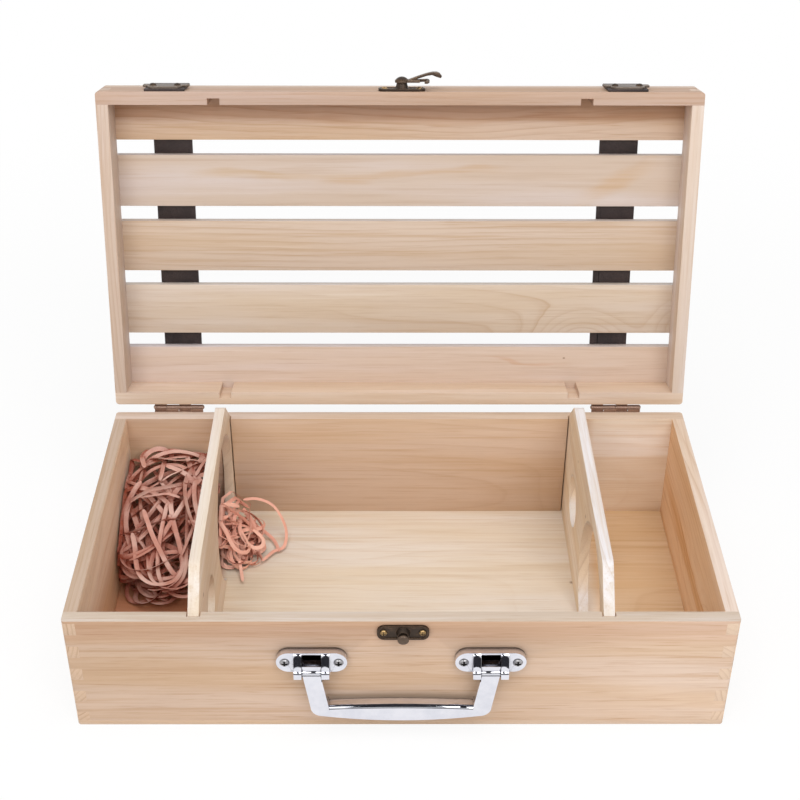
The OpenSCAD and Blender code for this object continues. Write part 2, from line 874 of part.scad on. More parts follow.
// Slat number i, counted from the front; the last one takes the straps' back nails
module slat(i) {
    y0 = -half_d + (i - 1) * slat_pitch;
    color(SLAT_PINE) lid_pose() difference() {
        intersection() {
            outline(rail_top, lid_top);
            translate([-half_w - over, y0, rail_top - over])
                cube([box_w + 2 * over, slat_w, slat_t + 2 * over]);
        }
        if (i == SLATS) for (x = strap_x) at_back_nails(x) pilot(small_shank_r);
    }
}

// Side view of a strap: along the top of the slats and down the lid's front
module strap_side() {
    bend_r = strap_t + 0.6;
    y0 = -half_d - strap_t;
    difference() {
        union() {
            translate([y0 + bend_r, lid_top]) square([box_d + strap_t - bend_r - strap_back, strap_t]);
            translate([y0, rim_z + strap_low])
                square([strap_t, lid_top + strap_t - bend_r - rim_z - strap_low]);
            translate([y0 + bend_r, lid_top + strap_t - bend_r]) circle(bend_r);
        }
        translate([-half_d, rim_z]) square([box_d, lid_top - rim_z]);
    }
}

module strap(x) {
    color(LEATHER) lid_pose() difference() {
        along_x(x - strap_w / 2, strap_w) strap_side();
        at_end_nails(x) nail_hole();
        at_back_nails(x) nail_hole();
    }
}

// End plate over the strap's lower end: two wings above, a rounded shield below, and small
// notches in the wings' tips
module strap_end(x) {
    wing_h = 6;
    wing_r = 1.4;
    shield_w = end_w - 7;
    shield_r = 4;
    notch_r = 1.2;
    color(BRONZE) lid_pose() on_front(x, end_mid) difference() {
        translate([0, 0, strap_t]) linear_extrude(height = end_t) difference() {
            union() {
                translate([0, (end_h - wing_h) / 2]) rounded_rect(end_w, wing_h, wing_r);
                rounded_rect(shield_w, end_h, shield_r);
                translate([0, end_h / 2 - shield_r]) square([shield_w, 2 * shield_r], center = true);
            }
            for (sx = [-1, 1]) translate([sx * end_w / 2, (end_h - wing_h) / 2]) circle(notch_r);
        }
        for (dx = [-end_nail_dx, end_nail_dx]) translate([dx, 0, 0]) nail_hole();
    }
}

module strap_nails() {
    color(BRONZE) lid_pose() for (x = strap_x) {
        at_end_nails(x) dome_nail(end_out);
        at_back_nails(x) dome_nail(strap_t);
    }
}

// Paper shred, as soft solids of the heap's outer shape

module ball_at(p, r) {
    translate(p) sphere(r, $fn = 32);
}

// Heap in the left compartment, against the back board
module shred_nest() {
    x0 = -bay_x + soft_gap;
    x1 = -divider_out - 2 * soft_gap;
    y1 = bay_y - soft_gap;
    z0 = base_t + soft_gap;
    r = nest_h * 0.26;
    crest_y = y1 - nest_reach * 0.38;
    front_y = y1 - nest_reach + r;
    shoulder = nest_h * 0.05;
    color(PAPER) intersection() {
        hull() {
            for (x = [x0 + r, x1 - r]) {
                ball_at([x, y1 - r, z0 + nest_h - r - shoulder], r);
                ball_at([x, crest_y, z0 + nest_h - r - shoulder], r);
                ball_at([x, front_y, z0 + nest_h * 0.35], r);
                ball_at([x, y1 - r, z0 + r / 2], r);
                ball_at([x, front_y, z0 + r / 2], r);
            }
            ball_at([(x0 + x1) / 2, crest_y, z0 + nest_h - r], r);
        }
        block([x0, y1 - nest_reach, z0], [x1, y1, z0 + nest_h]);
    }
}

// Part of the heap that comes through the left divider's arch into the middle compartment
module shred_spill() {
    x0 = -divider_out - soft_gap;
    x_far = -divider_out + divider_t + spill_reach;
    z0 = base_t + soft_gap;
    big = body_hole_r * 0.5;
    mid = body_hole_r * 0.32;
    small = body_hole_r * 0.23;
    half_y = body_hole_r * 0.77;
    color(PAPER) intersection() {
        hull() {
            ball_at([x0 + small, body_hole_y + small / 2, z0 + 0.8 * big], big);
            ball_at([x0 + small, body_hole_y - small, z0 + 0.8 * mid], mid);
            ball_at([x_far - mid, body_hole_y, z0 + mid / 2], mid);
            ball_at([x_far - 0.8 * big, body_hole_y - mid, z0 + small / 2], small);
        }
        block([x0, body_hole_y - half_y, z0], [x_far, body_hole_y + half_y, z0 + nest_h]);
    }
}

base_panel();
front_wall();
back_wall();
side_wall(-1);  // left_wall
side_wall(1);  // right_wall
divider(-1);  // left_divider
divider(1);  // right_divider
catch_plate();
catch_stud();
catch_screws();
handle_bracket(bracket_x[0]);  // left_handle_bracket
handle_bracket(bracket_x[1]);  // right_handle_bracket
handle_pin(bracket_x[0]);  // left_handle_pin
handle_pin(bracket_x[1]);  // right_handle_pin
handle_screws();
hinge_case_leaf(hinge_x[0]);  // left_hinge_case_leaf
hinge_case_leaf(hinge_x[1]);  // right_hinge_case_leaf
hinge_pin(hinge_x[0]);  // left_hinge_pin
hinge_pin(hinge_x[1]);  // right_hinge_pin
hinge_case_screws();
shred_nest();
shred_spill();
lid_front_rail();
lid_back_rail();
lid_side_rail(-1);  // lid_left_rail
lid_side_rail(1);  // lid_right_rail
slat(1);  // slat_1
slat(2);  // slat_2
slat(3);  // slat_3
slat(4);  // slat_4
slat(5);  // slat_5
strap(strap_x[0]);  // left_strap
strap(strap_x[1]);  // right_strap
strap_end(strap_x[0]);  // left_strap_end
strap_end(strap_x[1]);  // right_strap_end
strap_nails();
latch_plate();
latch_screws();
latch_pivot();
hinge_lid_leaf(hinge_x[0]);  // left_hinge_lid_leaf
hinge_lid_leaf(hinge_x[1]);  // right_hinge_lid_leaf
hinge_lid_screws();
latch_hook();
handle_bail();
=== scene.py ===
"""Looks of the wooden wine box: sanded pine, bronze, chrome and leather, and the heap of paper shred."""

import json
import math
import random

import bpy
from mathutils import Matrix, Vector


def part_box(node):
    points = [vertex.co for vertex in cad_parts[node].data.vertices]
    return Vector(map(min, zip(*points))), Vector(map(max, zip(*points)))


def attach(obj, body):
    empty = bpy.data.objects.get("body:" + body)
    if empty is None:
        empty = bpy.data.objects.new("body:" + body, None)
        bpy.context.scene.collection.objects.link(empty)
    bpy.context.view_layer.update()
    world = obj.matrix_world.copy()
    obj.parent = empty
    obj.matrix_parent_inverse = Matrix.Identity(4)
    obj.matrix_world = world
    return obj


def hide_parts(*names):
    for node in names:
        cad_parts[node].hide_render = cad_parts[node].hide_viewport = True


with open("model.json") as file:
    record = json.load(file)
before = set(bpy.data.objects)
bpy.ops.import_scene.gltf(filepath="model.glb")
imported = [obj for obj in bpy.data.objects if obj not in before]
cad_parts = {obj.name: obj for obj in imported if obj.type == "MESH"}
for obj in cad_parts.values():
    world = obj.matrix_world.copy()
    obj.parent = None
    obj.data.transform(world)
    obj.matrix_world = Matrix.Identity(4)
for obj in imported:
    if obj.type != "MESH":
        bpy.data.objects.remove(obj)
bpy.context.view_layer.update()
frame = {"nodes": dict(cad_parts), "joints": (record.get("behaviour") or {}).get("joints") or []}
nodes = frame["nodes"]

MM = 0.001

# Camera of the photograph: focal length and picture middle in pixels, place in metres, angles in degrees
PICTURE = 800
FOCAL = 1467.27
MIDDLE = (396.68, 428.21)
CAMERA_AT = Vector((-0.00613, -0.65437, 0.58932))
PITCH = 35.09
YAW = -0.34
ROLL = 0.21
SENSOR = 36


def turned_lid():
    """The turn of the lid's pieces from the closed lid to rest, which is the joint's whole range."""
    hinge = next(j for j in frame["joints"] if j["name"] == "lid_hinge")
    opened = math.radians(hinge["range_deg"][1])
    return Matrix.Rotation(-opened, 3, "X")


LID = turned_lid()
FLAT = Matrix.Identity(3)


# Node graphs


class Graph:
    """A material's nodes, with short calls for the few kinds that the finishes need."""

    def __init__(self, name):
        self.material = bpy.data.materials.new(name)
        self.material.use_nodes = True
        self.tree = self.material.node_tree
        self.tree.nodes.clear()
        self.shader = self.node("ShaderNodeBsdfPrincipled")
        self.surface = self.node("ShaderNodeOutputMaterial").inputs["Surface"]
        self.link(self.shader.outputs["BSDF"], self.surface)

    def node(self, kind, **settings):
        made = self.tree.nodes.new(kind)
        for key, value in settings.items():
            setattr(made, key, value)
        return made

    def link(self, a, b):
        self.tree.links.new(a, b)

    def put(self, socket, value):
        """Links a socket to another one, or sets it to a plain value."""
        if isinstance(value, bpy.types.NodeSocket):
            self.link(value, socket)
        else:
            socket.default_value = value

    def math(self, operation, a, b=0.0, c=0.0, clamp=False):
        made = self.node("ShaderNodeMath", operation=operation, use_clamp=clamp)
        for socket, value in zip(made.inputs, (a, b, c)):
            self.put(socket, value)
        return made.outputs[0]

    def vector(self, operation, a, b=(0.0, 0.0, 0.0)):
        made = self.node("ShaderNodeVectorMath", operation=operation)
        self.put(made.inputs[0], a)
        self.put(made.inputs[1], b)
        return made

    def scaled(self, vector, factors):
        return self.vector("MULTIPLY", vector, factors).outputs[0]

    def split(self, vector):
        made = self.node("ShaderNodeSeparateXYZ")
        self.link(vector, made.inputs[0])
        return made.outputs

    def joined(self, x, y, z):
        made = self.node("ShaderNodeCombineXYZ")
        for socket, value in zip(made.inputs, (x, y, z)):
            self.put(socket, value)
        return made.outputs[0]

    def place(self):
        """The place on the object, in metres."""
        return self.node("ShaderNodeTexCoord").outputs["Object"]

    def noise(self, place, waves, detail=3.0, roughness=0.5, output="Fac"):
        """Noise with so many waves per unit of length: one number for all directions, or three."""
        each = waves if isinstance(waves, tuple) else (waves, waves, waves)
        made = self.node("ShaderNodeTexNoise")
        self.link(self.scaled(place, each), made.inputs["Vector"])
        made.inputs["Scale"].default_value = 1.0
        made.inputs["Detail"].default_value = detail
        made.inputs["Roughness"].default_value = roughness
        return made.outputs[output]

    def cracks(self, place):
        """Distance to the borders of a net of cells."""
        made = self.node("ShaderNodeTexVoronoi", feature="DISTANCE_TO_EDGE")
        self.link(place, made.inputs["Vector"])
        made.inputs["Scale"].default_value = 1.0
        return made.outputs["Distance"]

    def profile(self, value, stops):
        """A smooth curve through (place, height) stops."""
        made = self.node("ShaderNodeValToRGB")
        made.color_ramp.interpolation = "EASE"
        elements = made.color_ramp.elements
        while len(elements) < len(stops):
            elements.new(0.5)
        for element, (place, height) in zip(elements, stops):
            element.position = place
            element.color = (height, height, height, 1.0)
        self.link(value, made.inputs["Fac"])
        return made.outputs["Color"]

    def steps(self, value, low, high, at_low=0.0, at_high=1.0):
        """A smooth step from at_low to at_high between two values."""
        made = self.node("ShaderNodeMapRange", interpolation_type="SMOOTHSTEP")
        for socket, v in zip(made.inputs, (value, low, high, at_low, at_high)):
            self.put(socket, v)
        return made.outputs[0]

    def mix(self, share, a, b):
        """Colour a turned into colour b by a share."""
        made = self.node("ShaderNodeMix", data_type="RGBA")
        self.put(made.inputs[0], share)
        for socket, value in ((made.inputs[6], a), (made.inputs[7], b)):
            self.put(socket, value if isinstance(value, bpy.types.NodeSocket) else (*value, 1.0))
        return made.outputs[2]

    def bump(self, height, depth, strength=1.0):
        """Relief of a height map, depth in metres for a height of 1."""
        made = self.node("ShaderNodeBump")
        made.inputs["Strength"].default_value = strength
        made.inputs["Distance"].default_value = depth
        self.link(height, made.inputs["Height"])
        self.link(made.outputs["Normal"], self.shader.inputs["Normal"])

    def board_coordinates(self, middle, u, w):
        """The place in millimetres from the board's middle, as (along the grain, across it, through it)."""
        v = w.cross(u)
        axes = Matrix((u, v, w))
        mapping = self.node("ShaderNodeMapping", vector_type="POINT")
        mapping.inputs["Rotation"].default_value = axes.to_euler("XYZ")
        mapping.inputs["Scale"].default_value = (1 / MM, 1 / MM, 1 / MM)
        mapping.inputs["Location"].default_value = -(axes @ middle) / MM
        self.link(self.place(), mapping.inputs["Vector"])
        return mapping.outputs[0]

    def facing(self, direction, one_side=False):
        """1 where the surface lies square to a direction, 0 where it runs along it. If only one side counts,
        the far side is -1."""
        normal = self.node("ShaderNodeTexCoord").outputs["Normal"]
        turned = self.vector("DOT_PRODUCT", normal, tuple(direction)).outputs["Value"]
        return turned if one_side else self.math("ABSOLUTE", turned)

    def shelter(self, distance, low, high):
        """1 in recesses, where the open share within a distance is low, and 0 on open surfaces: the mask of
        painted shade.
        """
        hidden = self.node("ShaderNodeAmbientOcclusion", samples=8)
        hidden.inputs["Distance"].default_value = distance
        return self.steps(hidden.outputs["AO"], high, low)

    def finished(self, colour, roughness, metallic=0.0, specular=0.5):
        """Sets the shader and returns the material."""
        self.put(self.shader.inputs["Base Color"], colour)
        self.put(self.shader.inputs["Roughness"], roughness)
        self.shader.inputs["Metallic"].default_value = metallic
        self.shader.inputs["Specular IOR Level"].default_value = specular
        return self.material


def srgb(r, g, b):
    """A colour written as 0 to 255 on screen, as the linear values that shaders take."""
    return tuple((c / 255 / 12.92) if c <= 10 else ((c / 255 + 0.055) / 1.055) ** 2.4 for c in (r, g, b))


def toned(tone, shares):
    """A colour made lighter or darker, red, green and blue each by its own share."""
    lightest = 0.95
    return tuple(min(c * share, lightest) for c, share in zip(tone, shares))


# Wood

X_AXIS = (1, 0, 0)
Y_AXIS = (0, 1, 0)
Z_AXIS = (0, 0, 1)

# How boards lie: where their grain runs, and where their broad face looks
FRONT_BOARD = {"along": X_AXIS, "face": Y_AXIS}
SIDE_BOARD = {"along": Y_AXIS, "face": X_AXIS}

# Directions of washes on a board's face
ALONG = 0
ACROSS = 1

# Pine's noises, in waves per millimetre (along the grain, across it, through the board)
SWAY = (0.005, 0.014, 0.014)
RIPPLE = (0.022, 0.09, 0.09)
SPREAD = (0.007, 0.03, 0.03)
BAND = (0.0035, 0.045, 0.045)
STREAK = (0.007, 0.3, 0.3)
DASH = (0.03, 1.3, 1.3)
FIBRE = (0.12, 3.4, 3.4)
PORES = (0.4, 2.2, 2.2)

# How far apart in the noises the boards of two seeds lie
SEED_STEP = (151.0, 67.0, 29.0)

# Pine's shades, as shares of the board's tone
LATE_WOOD = (0.78, 0.64, 0.5)
PALE_BAND = (1.06, 1.10, 1.19)
WARM_BAND = (0.97, 0.9, 0.78)
PALE_STREAK = (1.1, 1.13, 1.17)
DARK_STREAK = (0.88, 0.78, 0.66)
PALE_DASH = (1.12, 1.14, 1.18)
KNOT_WOOD = (0.36, 0.24, 0.16)
SAWN_END = (0.96, 0.92, 0.88)

# Shades of a sawn end, as shares of its own colour
END_PORES = (0.83, 0.76, 0.68)
END_RINGS = (0.62, 0.5, 0.41)

# One year's ring, from pale early wood to the dark line of late wood, as (place, darkness)
YEAR = ((0.0, 0.3), (0.1, 0.0), (0.55, 0.04), (0.84, 0.5), (0.95, 1.0), (1.0, 0.3))

# How far lines stray, in millimetres: rings and veins, in long bends and in short ripples
RING_SWAY = 12.0
RING_RIPPLE = 1.6
VEIN_SWAY = 14.0
VEIN_RIPPLE = 12.0

# Length over which a vein fades out at its ends, in millimetres
VEIN_FADE = 14.0

# Loops and knots are longer along the grain: these shares of the length count
LOOP_STRETCH = 0.6
KNOT_STRETCH = 0.7

# Depth of the pine's relief, in millimetres
RELIEF = 0.05

# Rounding of the boards' edges, in millimetres
BOARD_EDGE = 0.3
SLAT_EDGE = 0.35

# Edges that turn by more than so many degrees are rounded, or stay sharp in the shading
ROUNDED_OVER = 35
SHARP_OVER = 34

# Distance in millimetres at which a mesh's points become one
WELD = 0.002


class Grain:
    """The grain of one board: its coordinates in millimetres, (u, v, w) = (along, across, through), and its
    noises."""

    def __init__(self, g, middle, lengthwise, square, seed):
        self.g = g
        self.seed = seed
        place = g.board_coordinates(middle, lengthwise, square)
        self.seeded = g.vector("ADD", place, tuple(seed * step for step in SEED_STEP)).outputs[0]
        self.u, self.v, self.w = g.split(place)
        self.sway = g.split(g.noise(self.seeded, SWAY, detail=1.0, output="Color"))
        self.ripple = g.noise(self.seeded, RIPPLE, detail=2.0)
        self.streak = g.noise(self.seeded, STREAK, roughness=0.6)
        self.dash = g.noise(self.seeded, DASH, roughness=0.6)
        self.fibre = g.noise(self.seeded, FIBRE, roughness=0.6)

    def raised(self, swells):
        """The depth w, lifted round each swell, so that the rings show as loops on a face."""
        g = self.g
        w = self.w
        for at_u, at_v, reach, height in swells:
            du = g.math("MULTIPLY", g.math("SUBTRACT", self.u, at_u), LOOP_STRETCH)
            dv = g.math("SUBTRACT", self.v, at_v)
            squares = g.math("ADD", g.math("MULTIPLY", du, du), g.math("MULTIPLY", dv, dv))
            lift = g.math("EXPONENT", g.math("DIVIDE", squares, -reach * reach))
            w = g.math("MULTIPLY_ADD", lift, height, w)
        return w

    def year_lines(self, pith, tilt, ring, swells):
        """1 on the dark lines of late wood, which ring the pith line some millimetres apart."""
        g = self.g
        beside = g.math("SUBTRACT", self.v, pith[0] + RING_SWAY / 2)
        across = g.math("MULTIPLY_ADD", self.sway[0], RING_SWAY, beside)
        lean = g.math("MULTIPLY_ADD", self.u, tilt, self.raised(swells))
        below = g.math("MULTIPLY_ADD", self.sway[1], RING_SWAY, g.math("ADD", lean, pith[1] - RING_SWAY / 2))
        radius = g.vector("LENGTH", g.joined(across, below, 0.0)).outputs["Value"]
        turns = g.math("DIVIDE", g.math("MULTIPLY_ADD", self.ripple, RING_RIPPLE, radius), ring)
        year = g.node("ShaderNodeTexWhiteNoise")
        g.link(g.joined(g.math("FLOOR", turns), self.seed, 0.0), year.inputs["Vector"])
        line = g.profile(g.math("FRACT", turns), YEAR)
        good_year = g.math("MULTIPLY_ADD", year.outputs["Value"], 1.2, 0.4)
        good_place = g.steps(g.noise(self.seeded, SPREAD, detail=1.0), 0.32, 0.68, 0.25, 1.0)
        return g.math("MULTIPLY", line, g.math("MULTIPLY", good_year, good_place))

    def planed(self, tone, line, lines, dashes):
        """The colour of a planed face: broad bands, streaks, year lines, and short dashes and fibres."""
        g = self.g
        late = toned(tone, LATE_WOOD)
        band = g.noise(self.seeded, BAND, roughness=0.55)
        colour = g.mix(g.steps(band, 0.36, 0.64, 0.2, 0.8), toned(tone, PALE_BAND), toned(tone, WARM_BAND))
        colour = g.mix(g.steps(self.streak, 0.5, 0.72, 0.0, 0.7), colour, toned(tone, DARK_STREAK))
        colour = g.mix(g.steps(self.streak, 0.46, 0.28, 0.0, 0.6), colour, toned(tone, PALE_STREAK))
        colour = g.mix(g.math("MULTIPLY", line, lines), colour, late)
        colour = g.mix(g.steps(self.dash, 0.55, 0.72, 0.0, dashes), colour, late)
        colour = g.mix(g.steps(self.dash, 0.45, 0.28, 0.0, 0.6 * dashes), colour, toned(tone, PALE_DASH))
        return g.mix(g.steps(self.fibre, 0.5, 0.8, 0.0, 0.14), colour, late)

    def veined(self, colour, veins):
        """Adds soft winding stripes."""
        g = self.g
        ripple = g.math("MULTIPLY_ADD", self.ripple, VEIN_RIPPLE, -(VEIN_SWAY + VEIN_RIPPLE) / 2)
        sway = g.math("MULTIPLY_ADD", self.sway[2], VEIN_SWAY, ripple)
        patchy = g.steps(self.streak, 0.3, 0.6, 0.55, 1.0)
        for start, end, width, share in veins:
            slope = (end[1] - start[1]) / (end[0] - start[0])
            line = g.math("MULTIPLY_ADD", self.u, slope, start[1] - slope * start[0])
            off = g.math("ABSOLUTE", g.math("ADD", g.math("SUBTRACT", self.v, line), sway))
            begun = g.steps(self.u, start[0] - VEIN_FADE, start[0] + VEIN_FADE)
            not_ended = g.steps(self.u, end[0] + VEIN_FADE, end[0] - VEIN_FADE)
            inside = g.math("MULTIPLY", begun, not_ended)
            vein = g.math("MULTIPLY", g.steps(off, width, 0.2 * width), inside)
            colour = g.mix(g.math("MULTIPLY", vein, patchy), colour, g.scaled(colour, share))
        return colour

    def washed(self, colour, square, washes, side):
        """Tints the broad faces gradually from one place to another. The boards use these tints mostly as
        painted light and shade.
        """
        g = self.g
        if not washes:
            return colour
        shown = g.steps(g.facing(square * (side or 1), one_side=bool(side)), 0.45, 0.75)
        for direction, start, end, share in washes:
            reached = g.steps((self.u, self.v)[direction], start, end)
            colour = g.mix(g.math("MULTIPLY", reached, shown), colour, g.scaled(colour, share))
        return colour

    def knotted(self, colour, tone, knots):
        """Adds dark knots with ragged borders."""
        g = self.g
        for at_u, at_v, radius in knots:
            du = g.math("MULTIPLY", g.math("SUBTRACT", self.u, at_u), KNOT_STRETCH)
            away = g.vector("LENGTH", g.joined(du, g.math("SUBTRACT", self.v, at_v), 0.0)).outputs["Value"]
            away = g.math("MULTIPLY_ADD", self.dash, 1.2 * radius, g.math("SUBTRACT", away, 0.6 * radius))
            dark = g.steps(away, 0.3 * radius, 1.3 * radius, 0.75, 0.0)
            colour = g.mix(dark, colour, toned(tone, KNOT_WOOD))
        return colour

    def sawn(self, colour, line, ends):
        """The colour of a sawn end, with its pores, and with the year lines as arcs."""
        g = self.g
        pores = g.noise(self.seeded, PORES, detail=2.0)
        end = g.mix(g.steps(pores, 0.4, 0.7, 0.0, 0.4), colour, toned(colour, END_PORES))
        return g.mix(g.math("MULTIPLY", line, ends), end, toned(colour, END_RINGS))


def pine(node, tone, along=X_AXIS, face=Z_AXIS, turn=FLAT, seed=0.0, pith=(0.0, 60.0), tilt=0.0, ring=4.0,
         lines=0.35, dashes=0.42, ends=0.3, edges=(0.97, 1.08, 1.25), swells=(), knots=(), veins=(),
         washes=(), side=0, cut=None):
    """Sanded pine of one board, with tone as its mean colour. Lengths are in millimetres from the board's
    middle, and a share is a factor for each of red, green and blue.

    The grain runs along one axis and the broad face looks along another, both turned with the board. The year
    rings, ring apart, are cylinders round a pith line that lies pith = (across, below) and leans by tilt, so
    that faces show long lines or arches, and ends show arcs. Lines, dashes and ends are the strengths of the
    year lines, of the short dashes, and of the rings on the sawn ends. Edges is the share of the narrow
    faces, painted lighter or darker than the broad faces for the light that falls on them, and cut the colour
    of the sawn ends where it isn't the tone's own.

    Single marks are swells (along, across, reach, height), knots (along, across, radius), veins (start, end,
    width, share) and washes (direction, from, to, share). Side keeps the washes to the upper (1) or lower
    (-1) broad face."""
    g = Graph(node + "_pine")
    low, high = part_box(node)
    lengthwise = turn @ Vector(along)
    square = turn @ Vector(face)
    grain = Grain(g, (low + high) / 2, lengthwise, square, seed)
    round_knots = ((u, v, 4.0 * radius, 3.0 * radius) for u, v, radius in knots)
    line = grain.year_lines(pith, tilt, ring, [*swells, *round_knots])
    colour = grain.planed(tone, line, lines, dashes)
    colour = grain.veined(colour, veins)
    colour = grain.washed(colour, square, washes, side)
    colour = grain.knotted(colour, tone, knots)
    # Painted light and shade: the narrow faces made lighter or darker by the edges share
    colour = g.mix(g.steps(g.facing(square), 0.75, 0.45), colour, g.scaled(colour, edges))
    end = grain.sawn(srgb(*cut) if cut else toned(tone, SAWN_END), line, ends)
    colour = g.mix(g.steps(g.facing(lengthwise), 0.7, 0.95), colour, end)
    relief = g.math("ADD", g.math("MULTIPLY", grain.fibre, 0.6), g.math("MULTIPLY", line, 0.5))
    g.bump(relief, RELIEF * MM, strength=0.4)
    return g.finished(colour, g.steps(grain.fibre, 0.3, 0.7, 0.5, 0.64), specular=0.3)


def dress(name, material, rounding=0.0):
    """Gives a CAD node its material, and slightly rounded edges that catch the light."""
    piece = nodes[name]
    for slot in piece.material_slots:
        slot.material = material
    weld = piece.modifiers.new("weld", "WELD")
    weld.merge_threshold = WELD * MM
    if rounding > 0:
        edge = piece.modifiers.new("edges", "BEVEL")
        edge.width = rounding * MM
        edge.segments = 2
        edge.limit_method = "ANGLE"
        edge.angle_limit = math.radians(ROUNDED_OVER)
        edge.use_clamp_overlap = True
    smooth = piece.modifiers.new("smooth", "NODES")
    smooth.node_group = smooth_by_angle()


def smooth_by_angle():
    """Node group that shades smooth across all edges but the sharp ones."""
    name = "smooth_by_angle"
    if name in bpy.data.node_groups:
        return bpy.data.node_groups[name]
    group = bpy.data.node_groups.new(name, "GeometryNodeTree")
    group.interface.new_socket("Geometry", in_out="INPUT", socket_type="NodeSocketGeometry")
    group.interface.new_socket("Geometry", in_out="OUTPUT", socket_type="NodeSocketGeometry")
    start = group.nodes.new("NodeGroupInput")
    end = group.nodes.new("NodeGroupOutput")
    plain = group.nodes.new("GeometryNodeRemoveAttribute")
    plain.inputs["Name"].default_value = "custom_normal"
    faces = group.nodes.new("GeometryNodeSetShadeSmooth")
    edges = group.nodes.new("GeometryNodeSetShadeSmooth")
    edges.domain = "EDGE"
    edges.inputs["Shade Smooth"].default_value = False
    turn = group.nodes.new("GeometryNodeInputMeshEdgeAngle")
    sharp = group.nodes.new("FunctionNodeCompare")
    sharp.inputs[1].default_value = math.radians(SHARP_OVER)
    group.links.new(start.outputs[0], plain.inputs["Geometry"])
    group.links.new(plain.outputs[0], faces.inputs["Geometry"])
    group.links.new(faces.outputs[0], edges.inputs["Geometry"])
    group.links.new(turn.outputs[0], sharp.inputs[0])
    group.links.new(sharp.outputs[0], edges.inputs["Selection"])
    group.links.new(edges.outputs[0], end.inputs[0])
    return group


def board(node, tone, rounding=BOARD_EDGE, **grain):
    dress(node, pine(node, srgb(*tone), **grain), rounding)


def wooden_case():
    # Painted shade on the base's upper face: the right compartment's floor darker and more orange, the left
    # one's dark red, as shade with red light off the paper
    board("base_panel", (225, 213, 197), seed=1.0, pith=(-25, 70), tilt=0.06, ring=7.0, lines=0.3,
          edges=(0.87, 0.75, 0.68), swells=((95, -12, 30, 16), (-40, 48, 26, 12)), knots=((104, 18, 1.1),),
          washes=((ALONG, 112, 122, (0.9, 0.73, 0.54)), (ALONG, -104, -112, (0.72, 0.38, 0.26))), side=1)
    # Painted light and shade on the front wall: lighter to the right, a little darker to the left, darker
    # under the rim, lighter near the bottom, and pale narrow faces
    board("front_wall", (205, 177, 153), **FRONT_BOARD, seed=2.0, pith=(60, 150), ring=1.9, lines=0.22,
          dashes=0.75, edges=(0.99, 1.19, 1.45),
          washes=((ALONG, 40, 150, (1.17, 1.23, 1.3)), (ALONG, -60, -160, (0.95, 0.94, 0.92)),
                  (ACROSS, -14, -30, (0.95, 0.88, 0.86)), (ACROSS, 8, 26, (1.05, 1.07, 1.1))))
    # Painted light: the back wall's inner face paler at the right compartment's end
    board("back_wall", (214, 186, 161), **FRONT_BOARD, seed=3.0, pith=(20, 60), tilt=0.03, ring=4.5,
          lines=0.34, swells=((122, 20, 20, 12),), washes=((ALONG, 112, 122, (1.31, 1.58, 1.9)),), side=-1)
    # Painted light and shade: the left wall's inner face paler towards the top, and its narrow faces darker
    board("left_wall", (227, 193, 161), **SIDE_BOARD, seed=4.0, pith=(30, 46), ring=2.6,
          lines=0.36, ends=0.75, edges=(0.68, 0.74, 0.84), cut=(211, 182, 156),
          washes=((ACROSS, -12, 16, (1.22, 1.42, 1.62)),), side=1)
    board("right_wall", (238, 203, 167), **SIDE_BOARD, seed=5.0, pith=(-24, 34), tilt=0.03, ring=3.0,
          lines=0.6, ends=0.75, edges=(0.84, 0.98, 1.26), cut=(226, 200, 176), swells=((-20, -6, 20, 16),),
          veins=(((-84, -6), (70, -4), 8.0, (0.9, 0.8, 0.66)),
                 ((-60, -2), (40, 2), 2.2, (0.84, 0.68, 0.5))))
    board("left_divider", (226, 207, 185), **SIDE_BOARD, seed=6.0, pith=(40, 70), ring=5.0, lines=0.25,
          edges=(1.0, 1.08, 1.2), knots=((-70, 22, 1.3),), washes=((ALONG, -48, -66, (1.06, 1.08, 1.12)),))
    board("right_divider", (235, 218, 195), **SIDE_BOARD, seed=7.0, pith=(10, 60), tilt=0.05, ring=4.5,
          lines=0.35, edges=(0.92, 1.03, 1.28), swells=((-10, 22, 12, 8),),
          knots=((-6, 24, 1.1), (38, 30, 0.9)))


